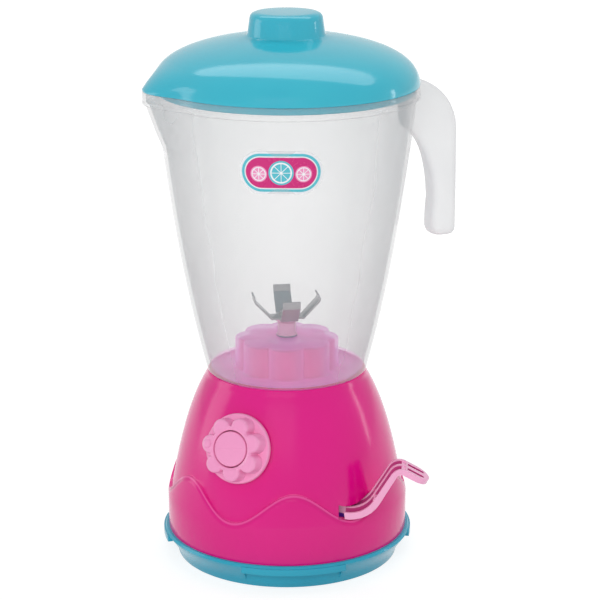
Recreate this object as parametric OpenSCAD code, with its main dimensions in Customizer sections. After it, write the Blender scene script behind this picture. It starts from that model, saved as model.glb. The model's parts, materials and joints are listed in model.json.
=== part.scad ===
// Toy blender: a lever works the blades through gears in a round base, under a clear jug and a domed lid.
// Z is up, the front of the base faces -Y, and the origin is on the table under the axis.
// Headings are degrees from the front, turning towards +X.

/* [Parts] */
// sub-parts of the blender, one file each
// sub-part to draw, or all

/* [Bottom plate] */
// radius of the ring that stands on the table
foot_radius = 51.3; // [50.9:0.1:53]
// radius of the plate's rim under the shell
plate_rim_radius = 57.5; // [57:0.1:60]
// height of the plate's rim above the table
plate_height = 12.2; // [10:0.1:14]
// gap between the table and the plate's floor
floor_gap = 2; // [1.8:0.1:3]
// thickness of the plate's floor
floor_thickness = 2.5; // [2:0.1:3]
// how far the lips on the rim stand out past it
lip_out = 0.5; // [0.2:0.1:1.5]
// height of the lips
lip_height = 4; // [2:0.1:6]
// half the angle that the front and back lips cover
front_lip_half_angle = 24; // [10:1:30]
// half the angle that the side lips cover
side_lip_half_angle = 14.5; // [8:0.5:30]

/* [Base shell] */
// radius of the shell's body at the bottom, above the skirt
shell_radius = 54.5; // [54.2:0.1:56]
// wall of the shell
shell_wall = 2.2; // [1.6:0.1:2.6]
// height at which the body starts to draw in
draw_in_height = 28.5; // [24:0.5:32]
// radius of the shell's shoulder
shoulder_radius = 36.9; // [36.7:0.1:38]
// height of the shell's rim round the jug's foot
shell_height = 88; // [87:0.1:90]
// depth of the jug's seat below that rim
seat_depth = 1.5; // [1:0.1:2.5]
// how far the wavy skirt stands out from the body
skirt_step = 1.1; // [0.6:0.1:1.6]
// waves round the skirt
wave_count = 6; // [3:1:10]
// middle height of the skirt's wavy edge
wave_middle = 37.4; // [34:0.1:39]
// height of a crest above that middle
wave_rise = 7.1; // [2:0.1:8]

/* [Jug] */
// height of the jug's rim above the table
jug_rim_height = 220.3; // [200:0.1:240]
// radius of the jug's foot
jug_foot_radius = 34.2; // [33:0.1:34.8]
// radius of the jug's wall at the lower bend
jug_low_radius = 36.7; // [36.2:0.1:37.2]
// radius of the jug's wall under its collar
jug_top_radius = 58.3; // [57.5:0.1:59]
// how far the collar stands out from the wall under it
collar_step = 1.4; // [1:0.1:2.7]
// height of the collar
collar_height = 5.7; // [5:0.1:8]
// wall of the jug
jug_wall = 1.8; // [1.4:0.1:2.2]
// thickness of the jug's floor
jug_floor = 2; // [1.6:0.1:2.6]
// height of the lobed turret above the jug's floor
turret_height = 14.5; // [13.5:0.1:17]
// lobes round the turret
lobe_count = 8; // [6:1:10]
// radius from the axis to the outside of a lobe
lobe_reach = 23.8; // [22.5:0.1:25]
// radius of one lobe
lobe_radius = 9.2; // [9:0.1:10]
// how far the spout's lip reaches past the collar
spout_overhang = 7; // [4.5:0.1:9]
// height of the spout from its foot to the rim
spout_height = 27.7; // [22:0.1:34]
// distance from the collar to the middle of the handle's grip
grip_standoff = 16.3; // [14.3:0.5:22]
// thickness of the handle, from the jug outwards
grip_thickness = 13; // [10:0.5:14]
// width of the handle
grip_width = 15; // [13.5:0.5:17]
// length of the handle below the rim
handle_length = 75; // [60:1:90]

/* [Lid] */
// height of the lid's top above the jug's rim
lid_height = 32.1; // [30:0.1:36]
// wall of the lid
lid_wall = 2; // [1.6:0.1:2.4]
// height of the dome under the knob
dome_height = 21.8; // [20:0.1:24]
// radius of the knob at its foot
knob_radius = 17.3; // [15:0.1:19]
// depth of the lid's skirt inside the jug
lid_skirt_depth = 3.3; // [2.5:0.1:4.2]

/* [Blades] */
// radius to the tips of the blades
blade_reach = 16.5; // [14:0.1:19]
// width of a blade
blade_width = 8; // [6:0.5:9]
// thickness of the blade sheet
blade_sheet = 0.8; // [0.6:0.1:1.2]
// rise of the tips above the blades' middle
blade_rise = 11.4; // [8:0.1:13]
// diameter of the spindle above the turret
spindle_diameter = 8.4; // [7.6:0.1:9.5]
// height of the spindle above the turret
spindle_height = 7; // [6:0.1:10]
// diameter of the spindle's stem in the turret
stem_diameter = 6; // [5:0.1:7]

/* [Lever] */
// distance from the axis to the lever's pivot, along the lever
pivot_reach = 31.3; // [30.8:0.1:31.6]
// height of the lever's pivot above the table
pivot_height = 47; // [46:0.1:48]
// distance from the axis to the lever's outer side face
lever_face = 47.3; // [46.5:0.1:47.6]
// width of the lever
lever_width = 13; // [12:0.1:13.4]
// radius of the arm's lower bend, about the pivot
bend_radius = 13; // [12:0.1:14]
// thickness of the arm in the lower bend
lever_thickness = 4.4; // [3.6:0.1:4.8]
// thickness of the finger pad
pad_thickness = 2.6; // [2.2:0.1:3.4]
// slope of the arm's rise
rise_slope = 59; // [50:1:65]
// length of the rise
rise_length = 14.9; // [12:0.1:18]
// slope of the finger pad, downwards
pad_slope = 28; // [15:1:35]
// length of the finger pad
pad_length = 11.8; // [10:0.1:16]
// angle that the lever is pressed down
lever_travel = 9; // [5:0.5:9]
// wire of the lever's return spring
spring_wire = 0.7; // [0.5:0.05:0.8]
// curls of the lever's return spring
spring_curls = 10; // [6:1:12]

/* [Gears] */
// module of all the gears, pitch diameter over teeth
gear_module = 1; // [1:0.01:1.03]
// teeth that the lever's sector would have as a full gear
sector_teeth = 48; // [48:1:50]
// teeth of the pinion on the gear axle
pinion_teeth = 16; // [16:1:17]
// teeth of the crown gear
crown_teeth = 32; // [28:4:32]
// teeth of the pinion on the drive shaft
shaft_pinion_teeth = 8; // [8:1:8]
// play between meshed teeth
backlash = 0.3; // [0.2:0.05:0.4]
// diameter of the steel axle, pin and shaft
steel_diameter = 4; // [3:0.1:4]

/* [Dial] */
// diameter of the dial's rear disc
dial_diameter = 31.5; // [29:0.1:33]
// thickness of the rear disc
dial_disc = 2.7; // [2:0.1:4]
// petals of the dial
petal_count = 7; // [5:1:9]
// height of the petals above the disc
petal_height = 7; // [4:0.1:8]
// angle of the pointer at rest, from the right as the dial is seen
pointer_angle = 176; // [0:1:359]
// diameter of the centre button
cap_diameter = 16.6; // [14:0.1:17]
// height of the dial's centre above the table
dial_height = 63; // [61:0.1:65]

/* [Label] */
// width of the label on the jug
label_width = 36; // [24:1:44]
// height of the label
label_height = 19; // [12:1:24]
// height of the label's middle above the table
label_middle = 192; // [180:1:200]
// thickness of the label
label_thickness = 0.3; // [0.2:0.05:0.5]

/* [Clearances] */
// gap at parts that slide or turn past each other
running_gap = 0.3; // [0.2:0.05:0.4]
// radial play of a shaft or pin in its bore
bearing_play = 0.08; // [0.04:0.01:0.1]

/* [Hidden] */
$fn = 96;
step = 0.01;

// headings of the parts that face outwards
lever_heading = 83;
dial_heading = -30;
spout_heading = -73;
handle_heading = spout_heading + 180;
label_heading = -5.5;
blade_heading = 5.5;
lobe_heading = -4;

// plain curve helpers
function bez(p, t) = pow(1 - t, 3) * p[0] + 3 * pow(1 - t, 2) * t * p[1]
    + 3 * (1 - t) * t * t * p[2] + t * t * t * p[3];
function bez_curve(p, n, last = 1) = [for (i = [0:n]) bez(p, last * i / n)];
function shift(points, by) = [for (p = points) p + by];
function arc(centre, radius, from, to, n) = [
    for (i = [0:n]) let (a = from + (to - from) * i / n) centre + radius * [cos(a), sin(a)]
];
function back(list) = [for (i = [len(list) - 1:-1:0]) list[i]];
// radius at a height on a curve of [radius, height] points
function radius_at(curve, z) = lookup(z, [for (p = curve) [p[1], p[0]]]);

// turns +X to face a heading
module facing(heading) { rotate([0, 0, heading - 90]) children(); }

// cylinder between two heights
module rod(r, z0, z1) { translate([0, 0, z0]) cylinder(r = r, h = z1 - z0); }

// ---- heights and radii that follow from the sizes above ----
floor_top = floor_gap + floor_thickness;
shell_bottom = plate_height;
seat_z = shell_height - seat_depth;
shoulder_z = shell_height - 1.7;
body_curve = bez_curve([
    [shell_radius + 0.1, draw_in_height], [shell_radius - 4.4, draw_in_height + 22],
    [shoulder_radius + 9.6, shoulder_z - 16], [shoulder_radius, shoulder_z]
], 16);
roof_z = seat_z - 2.5;
inner_curve = bez_curve([
    [shell_radius + 0.1 - shell_wall, draw_in_height], [shell_radius - 4.4 - shell_wall, draw_in_height + 22],
    [shoulder_radius + 9.6 - shell_wall, shoulder_z - 16.5],
    [shoulder_radius - shell_wall, roof_z - 0.5]
], 16);
seat_radius = jug_foot_radius + 1.4;
skirt_top = wave_middle + wave_rise + 3;
skirt_curve = [for (p = body_curve) if (p[1] < skirt_top + 4) p];

jug_floor_top = seat_z + jug_floor;
turret_top = jug_floor_top + turret_height;
collar_z = jug_rim_height - collar_height;
jug_points = [
    [jug_low_radius, seat_z + 2.4], [jug_low_radius + 11.1, seat_z + 44.4],
    [jug_top_radius - 4.7, collar_z - 42], [jug_top_radius, collar_z]
];
jug_curve = bez_curve(jug_points, 20);
jug_inner_curve = bez_curve(shift(jug_points, [-jug_wall, 0]), 20);
collar_radius = jug_top_radius + collar_step;
collar_inner = collar_radius - jug_wall;
spout_reach = collar_radius + spout_overhang;
grip_radius = collar_radius + grip_standoff;
lobe_ring = lobe_reach - lobe_radius;
turret_wall = 1.5;
boss_gap = 0.4;
boss_top = turret_top - turret_wall - 0.5;

lid_top = jug_rim_height + lid_height;
dome_z = jug_rim_height + dome_height;
lid_edge = collar_radius - 0.1;
lid_skirt_radius = collar_inner - running_gap;

// drive train: local X runs along the lever, and Y across it, with the axle along Y
sector_radius = gear_module * sector_teeth / 2;
pinion_radius = gear_module * pinion_teeth / 2;
crown_radius = gear_module * crown_teeth / 2;
shaft_pinion_radius = gear_module * shaft_pinion_teeth / 2;
tooth_top = 0.8 * gear_module;
tooth_root = gear_module;
steel_radius = steel_diameter / 2;
pivot = [pivot_reach, pivot_height];
gear_distance = sector_radius + pinion_radius;
axle = [0, pivot_height - sqrt(gear_distance * gear_distance - pivot_reach * pivot_reach)];
// direction from the axle to the pivot
mesh_angle = atan2(pivot[1] - axle[1], pivot[0]);

// lever: the middle line of its arm bends round the pivot, rises, then bends over to the pad
inner_slope = -58;
high_bend_radius = 4;
rise_start = pivot + bend_radius * [sin(rise_slope), -cos(rise_slope)];
rise_end = rise_start + rise_length * [cos(rise_slope), sin(rise_slope)];
high_bend = rise_end + high_bend_radius * [sin(rise_slope), -cos(rise_slope)];
pad_start = high_bend + high_bend_radius * [sin(pad_slope), cos(pad_slope)];
pad_end = pad_start + pad_length * [cos(pad_slope), -sin(pad_slope)];

lever_outer = -lever_face;
lever_inner = lever_outer + lever_width;
// the arm narrows where it is inside the shell
arm_outer = -40.7;
full_width_x = pivot_reach - 2.2;
web_outer = lever_inner + 1.5;
web_inner = web_outer + 3;
plate_a = [-23, -21];
plate_b = [-14, -12];
hub_radius = steel_radius + 1.9;
hub_end = plate_a[0] - running_gap;
sector_y = [-30, -26];
crown_mesh_y = -shaft_pinion_radius;
crown_back_y = crown_mesh_y - tooth_root - 3.2;
crown_mesh_z = axle[1] + crown_radius;
slot_gap = 0.5;
// where the arm's full width is at the end of its travel, from the pivot
arm_reach = bend_radius + lever_thickness / 2;
slot_left = pivot_reach - slot_gap
    - arm_reach * sin(asin((pivot_reach - full_width_x) / arm_reach) + lever_travel);

well_floor = boss_top - 11;
coupling_radius = 7;
coupling_inner = stem_diameter / 2 + 0.3;
claw_height = 4;
claw_half_angle = 26;
drive_disc_z = well_floor + 0.3;
drive_claw_z = drive_disc_z + claw_height;
jug_claw_z = drive_claw_z + running_gap;
jug_disc_z = jug_claw_z + claw_height;
jug_disc_top = jug_disc_z + 2;

post_radius = 45.5;
post_headings = [15, 105, 195, 285];
frame_screws = [[-6, -28], [31, -28], [-6, -17.5], [31, -17.5]];
spring_place = [pivot_reach - 17.3, (sector_y[0] + sector_y[1]) / 2];
spring_radius = 2.2;

dial_surface = radius_at(body_curve, dial_height);
dial_tilt = atan((radius_at(body_curve, dial_height - 2) - radius_at(body_curve, dial_height + 2)) / 4);
stub_radius = 3;
cap_base = dial_disc + running_gap + 1.2;

// ---- bottom plate ----
flare = bez_curve([
    [foot_radius, 0], [foot_radius + 0.6, plate_height * 0.35],
    [plate_rim_radius - 2.4, plate_height * 0.6], [plate_rim_radius, plate_height - 1.2]
], 6);
plate_wall_radius = foot_radius - 0.9;
recess_radius = foot_radius + 0.6;

module lip_sector(half_angle, heading) {
    facing(heading) rotate([0, 0, -half_angle]) children();
}
module plate_lips(cut) {
    for (side = [[0, front_lip_half_angle], [180, front_lip_half_angle],
                 [90, side_lip_half_angle], [270, side_lip_half_angle]])
        lip_sector(side[1], side[0])
            rotate_extrude(angle = 2 * side[1])
                if (cut) translate([recess_radius, floor_gap - 1])
                    square([10, plate_height - lip_height - floor_gap + 1]);
                else translate([recess_radius - 1, plate_height - lip_height])
                    square([plate_rim_radius + lip_out - recess_radius + 1, lip_height - 1]);
}
module plate_tube(cut) {
    for (heading = post_headings) facing(heading) translate([post_radius, 0])
        if (cut) {
            rod(3, -1, floor_top + 1.5);
            rod(1.6, -1, 20);
        } else rod(4, floor_gap, floor_top + 3.9);
}
module bottom_plate() color([0.27, 0.68, 0.78]) {
    difference() {
        union() {
            difference() {
                rotate_extrude() polygon(concat(
                    [[0, 0]], flare,
                    [[plate_rim_radius - 0.8, plate_height], [0, plate_height]]
                ));
                plate_lips(true);
            }
            plate_lips(false);
            rod(plate_wall_radius + 1.4, plate_height - 1, plate_height + 2);
        }
        rod(foot_radius - 2.6, -1, floor_gap);
        rod(plate_wall_radius, floor_top, plate_height + 3);
        plate_tube(true);
        rotate([0, 0, lever_heading - 90]) for (p = frame_screws) translate(p) rod(1.1, -1, 9);
    }
    difference() {
        plate_tube(false);
        plate_tube(true);
    }
    rod(6, 0, floor_gap + 0.5);
    difference() {
        rod(5, floor_top - 0.5, floor_top + 7.5);
        rod(steel_radius + bearing_play, floor_top + 2, floor_top + 9);
    }
}
module bottom_screws() color([0.7, 0.7, 0.72])
    for (heading = post_headings) facing(heading) translate([post_radius, 0]) {
        rod(2.6, floor_top - 0.1, floor_top + 1.5);
        rod(1.2, floor_top + 1.5, floor_top + 18);
    }

// ---- base shell ----
wave_steps = 12;
wave_half = 180 / wave_count;
wave_radius = shell_radius + skirt_step / 2;
// what is above one wave of the skirt's edge, with X round the shell and Y up
wave_top = [
    for (i = [-wave_steps:wave_steps]) let (a = 1.01 * wave_half * i / wave_steps)
        [wave_radius * sin(a), wave_middle + wave_rise * cos(wave_count * a)]
];
wave_edge = wave_top[2 * wave_steps][0];
module skirt() difference() {
    rotate_extrude() polygon(concat(
        [[shell_radius + skirt_step, shell_bottom]], shift(skirt_curve, [skirt_step, 0]),
        back(shift(skirt_curve, [-1, 0])), [[shell_radius - 1, shell_bottom]]
    ));
    for (i = [0:wave_count - 1]) facing(i * 360 / wave_count) translate([20, 0, 0])
        rotate([90, 0, 90]) linear_extrude(50)
            polygon(concat(wave_top, [[wave_edge, skirt_top + 12], [-wave_edge, skirt_top + 12]]));
}
module lobes(shrink) {
    for (i = [0:lobe_count - 1]) facing(lobe_heading + i * 360 / lobe_count)
        translate([lobe_ring, 0]) circle(r = lobe_radius - shrink);
    circle(r = lobe_ring + 3 - shrink);
}
module dial_place()
    facing(dial_heading) translate([dial_surface, 0, dial_height])
        rotate([0, 90 - dial_tilt, 0]) children();
module shell_posts() for (heading = post_headings) facing(heading)
    difference() {
        union() {
            translate([post_radius, 0]) rod(4, floor_top + 4, draw_in_height);
            translate([post_radius, -1.2, plate_height + 3])
                cube([shell_radius - shell_wall / 2 - post_radius, 2.4, draw_in_height - plate_height - 4.4]);
        }
        translate([post_radius, 0]) rod(1.2, floor_top, floor_top + 18.3);
    }
// the way of the arm through the shell: a ring round the pivot
module slot_outline() intersection() {
    translate(pivot) difference() {
        circle(r = arm_reach + slot_gap);
        circle(r = arm_reach - lever_thickness - slot_gap);
    }
    translate([slot_left, pivot[1] - 30]) square([60, 34]);
}
module base_shell() color([0.86, 0.17, 0.53]) difference() {
    union() {
        difference() {
            rotate_extrude() polygon(concat(
                [[0, shell_bottom], [shell_radius, shell_bottom]], body_curve,
                [[shoulder_radius - 0.2, shell_height - 0.8], [seat_radius + 0.6, shell_height],
                 [seat_radius, shell_height], [seat_radius, seat_z], [0, seat_z]]
            ));
            rotate_extrude() polygon(concat(
                [[0, shell_bottom - 1], [shell_radius - shell_wall, shell_bottom - 1]], inner_curve,
                [[shoulder_radius - shell_wall - 2, roof_z], [0, roof_z]]
            ));
        }
        skirt();
        translate([0, 0, roof_z + 0.5]) linear_extrude(boss_top - roof_z - 0.5)
            lobes(turret_wall + boss_gap);
        dial_place() rod(dial_diameter / 2 - 2.2, -5, 0);
        shell_posts();
    }
    difference() {
        rod(lobe_ring + 1.9, roof_z - 1, boss_top - 2.2);
        rod(coupling_radius + 3.5, well_floor - 2.5, boss_top);
    }
    rod(coupling_radius + 1.5, well_floor, boss_top + 1);
    rod(4, roof_z - 2, well_floor + 1);
    dial_place() rod(stub_radius + bearing_play, -8, 2);
    across([lever_outer - 12, lever_inner + 2 * running_gap]) slot_outline();
}
module shaft_bush() color([0.93, 0.93, 0.9]) difference() {
    union() {
        rod(4, well_floor - 2.5, well_floor);
        rod(5.5, well_floor - 3.7, well_floor - 2.5);
    }
    rod(steel_radius + bearing_play, well_floor - 5, well_floor + 1);
}

// ---- gears ----
// half the angle of a tooth at a radius on its flank, for a pressure angle of 25 degrees
pressure = 25;
function involute(a) = tan(a) * 180 / PI - a;
function flank_half(teeth, r) = let (
        pitch = gear_module * teeth / 2, base = pitch * cos(pressure),
        half = 90 / teeth - backlash / 4 / pitch * 180 / PI
    ) half + involute(pressure) - (r > base ? involute(acos(base / r)) : 0);
function tooth_points(teeth, n = 4) = let (
        pitch = gear_module * teeth / 2, base = pitch * cos(pressure),
        low = max(base, pitch - tooth_root), high = pitch + tooth_top,
        side = [for (i = [0:n]) let (r = low + (high - low) * i / n) [r, flank_half(teeth, r)]],
        foot = [[pitch - tooth_root - 0.6, side[0][1]]],
        left = concat(foot, side)
    ) concat([for (q = left) q[0] * [cos(-q[1]), sin(-q[1])]],
             [for (q = back(left)) q[0] * [cos(q[1]), sin(q[1])]]);
module spur(teeth, first, last) {
    circle(r = gear_module * teeth / 2 - tooth_root);
    for (i = [first:last]) rotate(i * 360 / teeth) polygon(tooth_points(teeth));
}
// puts a flat outline, X along the lever and Y up, between two places along the axle
module across(span) {
    rotate([0, 0, lever_heading - 90]) translate([0, span[1], 0]) rotate([90, 0, 0])
        linear_extrude(span[1] - span[0]) children();
}
module axle_hole() { circle(r = steel_radius); }

module gear_axle() color([0.75, 0.75, 0.78])
    across([sector_y[0] - 1, crown_mesh_y + 0.4]) translate(axle) axle_hole();
module pinion_gear() color([0.95, 0.94, 0.9])
    across([sector_y[0], plate_a[0] - running_gap]) translate(axle) difference() {
        rotate(mesh_angle) spur(pinion_teeth, 0, pinion_teeth - 1);
        axle_hole();
    }
module crown_gear() color([0.97, 0.8, 0.2]) {
    across([crown_back_y, crown_mesh_y - tooth_root]) translate(axle) difference() {
        circle(r = crown_radius + 1.8);
        axle_hole();
    }
    across([plate_b[1] + running_gap, crown_back_y]) translate(axle) difference() {
        circle(r = steel_radius + 2.2);
        axle_hole();
    }
    pitch_half = gear_module * PI / 4 - backlash / 2;
    slope = tan(pressure);
    rotate([0, 0, lever_heading - 90]) translate([0, 0, axle[1]])
        for (i = [0:crown_teeth - 1]) rotate([0, i * 360 / crown_teeth, 0])
            translate([0, crown_mesh_y, crown_radius - 1.5]) linear_extrude(3) polygon([
                [-pitch_half - slope * tooth_root, -tooth_root - 0.2],
                [pitch_half + slope * tooth_root, -tooth_root - 0.2],
                [pitch_half - slope * tooth_top, tooth_top],
                [-pitch_half + slope * tooth_top, tooth_top]
            ]);
}
module drive_shaft() color([0.75, 0.75, 0.78]) rod(steel_radius, floor_top + 2, drive_claw_z - 1);
module shaft_pinion() color([0.95, 0.94, 0.9]) difference() {
    union() {
        rotate([0, 0, lever_heading + 180 / shaft_pinion_teeth]) translate([0, 0, crown_mesh_z - 3])
            linear_extrude(6) spur(shaft_pinion_teeth, 0, shaft_pinion_teeth - 1);
        rod(steel_radius + 1.7, crown_mesh_z + 2.5, crown_mesh_z + 7);
    }
    rod(steel_radius, crown_mesh_z - 4, crown_mesh_z + 8);
}
// ring of three claws between two heights
module claws(z0, z1, turn) {
    translate([0, 0, z0]) for (i = [0:2]) rotate([0, 0, turn + 120 * i - claw_half_angle])
        rotate_extrude(angle = 2 * claw_half_angle)
            translate([coupling_inner, 0]) square([coupling_radius - coupling_inner, z1 - z0]);
}
module drive_coupling() color([0.97, 0.8, 0.2]) {
    difference() {
        rod(coupling_radius + 0.2, drive_disc_z, drive_claw_z);
        rod(steel_radius, drive_disc_z - 1, drive_claw_z - 1);
    }
    claws(drive_claw_z - 0.5, drive_claw_z + claw_height, 0);
}

// ---- gearbox ----
module plate_outline() {
    polygon([
        [-7, floor_top], [pivot[0] + 5, floor_top], [pivot[0] + 5, 30], [pivot[0] + 4.9, pivot[1]],
        [pivot[0] - 4.9, pivot[1]], [pivot[0] - 7, 32], [5, 30], [4.9, axle[1]], [-4.9, axle[1]], [-7, 28]
    ]);
    translate(pivot) circle(r = 5);
    translate(axle) circle(r = 5);
}
module gearbox_frame() color([0.36, 0.16, 0.52]) {
    for (y = [plate_a, plate_b]) across(y) difference() {
        plate_outline();
        translate(axle) circle(r = steel_radius + bearing_play);
        translate(pivot) axle_hole();
    }
    rotate([0, 0, lever_heading - 90]) difference() {
        union() {
            intersection() {
                translate([-10, sector_y[0] - 3, floor_top])
                    cube([pivot[0] + 15.2, plate_b[1] + 1.5 - sector_y[0] + 3, floor_thickness]);
                rod(plate_wall_radius - 1.1, 0, 20);
            }
            for (p = frame_screws) translate(p) rod(3.2, floor_top, floor_top + 8);
        }
        for (p = frame_screws) translate(p) rod(1.1, floor_top - 1, floor_top + 7);
    }
}
module gearbox_screws() color([0.7, 0.7, 0.72]) rotate([0, 0, lever_heading - 90])
    for (p = frame_screws) translate(p) {
        rod(2.2, floor_gap - 1.3, floor_gap);
        rod(1.1, floor_gap, floor_top + 6.5);
    }

// ---- lever ----
bend_steps = 12;
top_steps = 8;
middle_line = concat(
    arc(pivot, bend_radius, inner_slope - 90, rise_slope - 90, bend_steps),
    arc(high_bend, high_bend_radius, rise_slope + 90, 90 - pad_slope, top_steps),
    [pad_end]
);
slopes = concat(
    [for (i = [0:bend_steps]) inner_slope + (rise_slope - inner_slope) * i / bend_steps],
    [for (i = [0:top_steps]) rise_slope - (pad_slope + rise_slope) * i / top_steps],
    [-pad_slope]
);
top_first = bend_steps + 1;
last_point = len(middle_line) - 1;
// half the arm's thickness at a point of the middle line
function half_at(i) = i < top_first ? lever_thickness / 2
    : i > top_first + top_steps ? pad_thickness / 2
    : lever_thickness / 2 - 0.2 + (pad_thickness - lever_thickness + 0.4) / 2 * (i - top_first) / top_steps;
// a point square to the middle line, above it by some distance
function beside(i, up) = middle_line[i] + up * [-sin(slopes[i]), cos(slopes[i])];
function above(from, to, extra) = [for (i = [from:to]) beside(i, half_at(i) + extra)];
function below(from, to, extra) = [for (i = [from:to]) beside(i, -half_at(i) - extra)];
rail = 1.9;
web = 1.4;
rib = 1.7;
groove_width = (lever_width - 3 * rail) / 2;
along_rise = [cos(rise_slope), sin(rise_slope)];
across_rise = [-sin(rise_slope), cos(rise_slope)];
along_pad = [cos(pad_slope), -sin(pad_slope)];
across_pad = [sin(pad_slope), cos(pad_slope)];

module arm_outline() polygon(concat(above(0, last_point, 0), back(below(0, last_point, 0))));
// grooves between the three rails, stopped by a rib at the foot of the rise and by one at its top
module grooves() for (k = [0, 1]) {
    y = lever_outer + rail + k * (groove_width + rail);
    rise_foot = rise_start + rib * along_rise;
    across([y, y + groove_width]) {
        polygon(concat(above(0, bend_steps, 2), back(below(0, bend_steps, -web))));
        polygon(concat(
            [rise_foot + (web - lever_thickness / 2) * across_rise],
            below(top_first, top_first + 4, -web), back(above(top_first, top_first + 4, 2)),
            [rise_foot + (lever_thickness / 2 + 2) * across_rise]
        ));
    }
    inset = (groove_width - 2.2) / 2;
    across([y + inset, y + groove_width - inset]) {
        near = pad_start + 0.6 * along_pad;
        far = pad_end - 3.4 * along_pad;
        polygon([near, far, far + 3 * across_pad, near + 3 * across_pad]);
    }
}
// the finger pad's round end, seen square to the pad
module pad_end_cut() {
    round_radius = lever_width / 2;
    rotate([0, 0, lever_heading - 90])
        translate([pad_end[0], (lever_outer + lever_inner) / 2, pad_end[1]]) rotate([0, pad_slope, 0])
            difference() {
                translate([-round_radius, -lever_width, -8]) cube([20, 2 * lever_width, 16]);
                translate([-round_radius, 0, -9]) cylinder(r = round_radius, h = 18);
            }
}
// fan between the pivot and a rim, over some angles
module fan(rim, from, to, width) polygon(concat(
    [width * [cos(from - 90), sin(from - 90)], width * [cos(to + 90), sin(to + 90)]],
    arc([0, 0], rim, to, from, 10)
));
module lever() color([0.95, 0.62, 0.79]) difference() {
    union() {
        difference() {
            union() {
                intersection() {
                    across([lever_outer, lever_inner]) arm_outline();
                    rotate([0, 0, lever_heading - 90]) translate([full_width_x, -60, 0]) cube([60, 60, 90]);
                }
                across([arm_outer, web_inner])
                    polygon(concat(above(0, 6, 0), back(below(0, 6, 0))));
            }
            grooves();
            pad_end_cut();
        }
        across([web_outer, web_inner]) translate(pivot)
            fan(bend_radius - 1, inner_slope - 88, -97, hub_radius - 0.5);
        across([web_outer, hub_end]) translate(pivot) circle(r = hub_radius);
        across(sector_y) translate(pivot) {
            fan(sector_radius - tooth_root, 180 + mesh_angle - 2.1 * 360 / sector_teeth,
                180 + mesh_angle + 3.1 * 360 / sector_teeth, hub_radius - 0.5);
            for (i = [-2:2]) rotate(180 + mesh_angle + (i + 0.5) * 360 / sector_teeth)
                polygon(tooth_points(sector_teeth));
        }
    }
    across([lever_inner - 1, hub_end + 1]) translate(pivot) circle(r = steel_radius + bearing_play);
}
module lever_pin() color([0.75, 0.75, 0.78]) {
    across([web_outer - running_gap, plate_b[1]]) translate(pivot) axle_hole();
    across([web_outer - 1 - running_gap, web_outer - running_gap]) translate(pivot)
        circle(r = steel_radius + 0.6);
}

// ---- lever spring: one unbroken tube between the frame and the sector's lower edge ----
sector_low = 180 + mesh_angle + 3.1 * 360 / sector_teeth;
spring_reach = spring_place[0] - pivot[0];
// height of the sector's lower edge over the spring
sector_under = pivot[1] + spring_reach * tan(sector_low - 180)
    - (hub_radius - 0.5) / cos(sector_low - 180);
spring_low = floor_top + floor_thickness + spring_wire / 2;
spring_high = sector_under - spring_wire / 2 - (spring_radius + spring_wire / 2) * tan(sector_low - 180);
ring_sides = 6;
rings_per_curl = 8;
rings = spring_curls * rings_per_curl;
spring_path = [
    for (i = [0:rings]) let (a = i * 360 / rings_per_curl)
        [spring_radius * cos(a), spring_radius * sin(a), spring_low + (spring_high - spring_low) * i / rings]
];
spring_gap = (spring_high - spring_low) / spring_curls - spring_wire;
echo("least gap between the spring's curls", spring_gap);
spring_points = [
    for (i = [0:rings]) let (a = i * 360 / rings_per_curl)
        for (k = [0:ring_sides - 1]) let (b = k * 360 / ring_sides)
            spring_path[i] + spring_wire / 2
                * [cos(b) * cos(a), cos(b) * sin(a), sin(b)]
];
spring_faces = concat(
    [for (i = [0:rings - 1]) for (k = [0:ring_sides - 1])
        let (p = i * ring_sides + k, q = i * ring_sides + (k + 1) % ring_sides)
            for (f = [[p, q, p + ring_sides], [q, q + ring_sides, p + ring_sides]]) f],
    [for (k = [1:ring_sides - 2]) [0, k + 1, k]],
    [for (k = [1:ring_sides - 2]) [rings * ring_sides, rings * ring_sides + k, rings * ring_sides + k + 1]]
);
module lever_spring() color([0.8, 0.8, 0.82])
    rotate([0, 0, lever_heading - 90]) translate(spring_place)
        polyhedron(spring_points, spring_faces, convexity = 20);

// ---- dial ----
petal_radius = 4.7;
petal_ring = dial_diameter / 2 - 0.5 - petal_radius;
disc_back = running_gap;
disc_front = disc_back + dial_disc;
petal_front = disc_front + petal_height;
module dial_knob() color([0.94, 0.6, 0.77]) dial_place() {
    difference() {
        union() {
            rod(dial_diameter / 2, disc_back, disc_front);
            translate([0, 0, disc_front]) linear_extrude(petal_height) {
                circle(r = petal_ring + 0.4);
                for (i = [0:petal_count - 1]) rotate(i * 360 / petal_count + pointer_angle + 90)
                    translate([petal_ring, 0]) circle(r = petal_radius);
            }
            rotate([0, 0, pointer_angle + 90]) translate([petal_ring + 1, 0, 0])
                rod(1.6, petal_front - 1, petal_front + 1);
        }
        rod(cap_diameter / 2 + 0.5, cap_base, petal_front + 1);
        rod(1.1, 0, cap_base - 0.8);
    }
    difference() {
        rod(stub_radius, -5 - running_gap, disc_back + 0.5);
        rod(1.1, -6, disc_back + 1);
    }
}
module dial_cap() color([0.95, 0.62, 0.79]) dial_place() difference() {
    union() {
        rod(cap_diameter / 2, cap_base, petal_front - 0.4);
        translate([0, 0, petal_front - 0.4]) cylinder(r1 = cap_diameter / 2, r2 = cap_diameter / 2 - 1.4, h = 1);
    }
    rotate([0, 0, pointer_angle + 12]) translate([-0.3, -cap_diameter, petal_front + 0.2])
        cube([0.6, 2 * cap_diameter, 2]);
}
module dial_washer() color([0.75, 0.75, 0.78]) dial_place() difference() {
    rod(5.5, -5.8 - running_gap, -5 - running_gap);
    rod(1.1, -7, -4);
}
module dial_screw() color([0.7, 0.7, 0.72]) dial_place() {
    rod(2.6, -7.4 - running_gap, -5.8 - running_gap);
    rod(1.1, -5.8 - running_gap, cap_base - 1.2);
}

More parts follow.
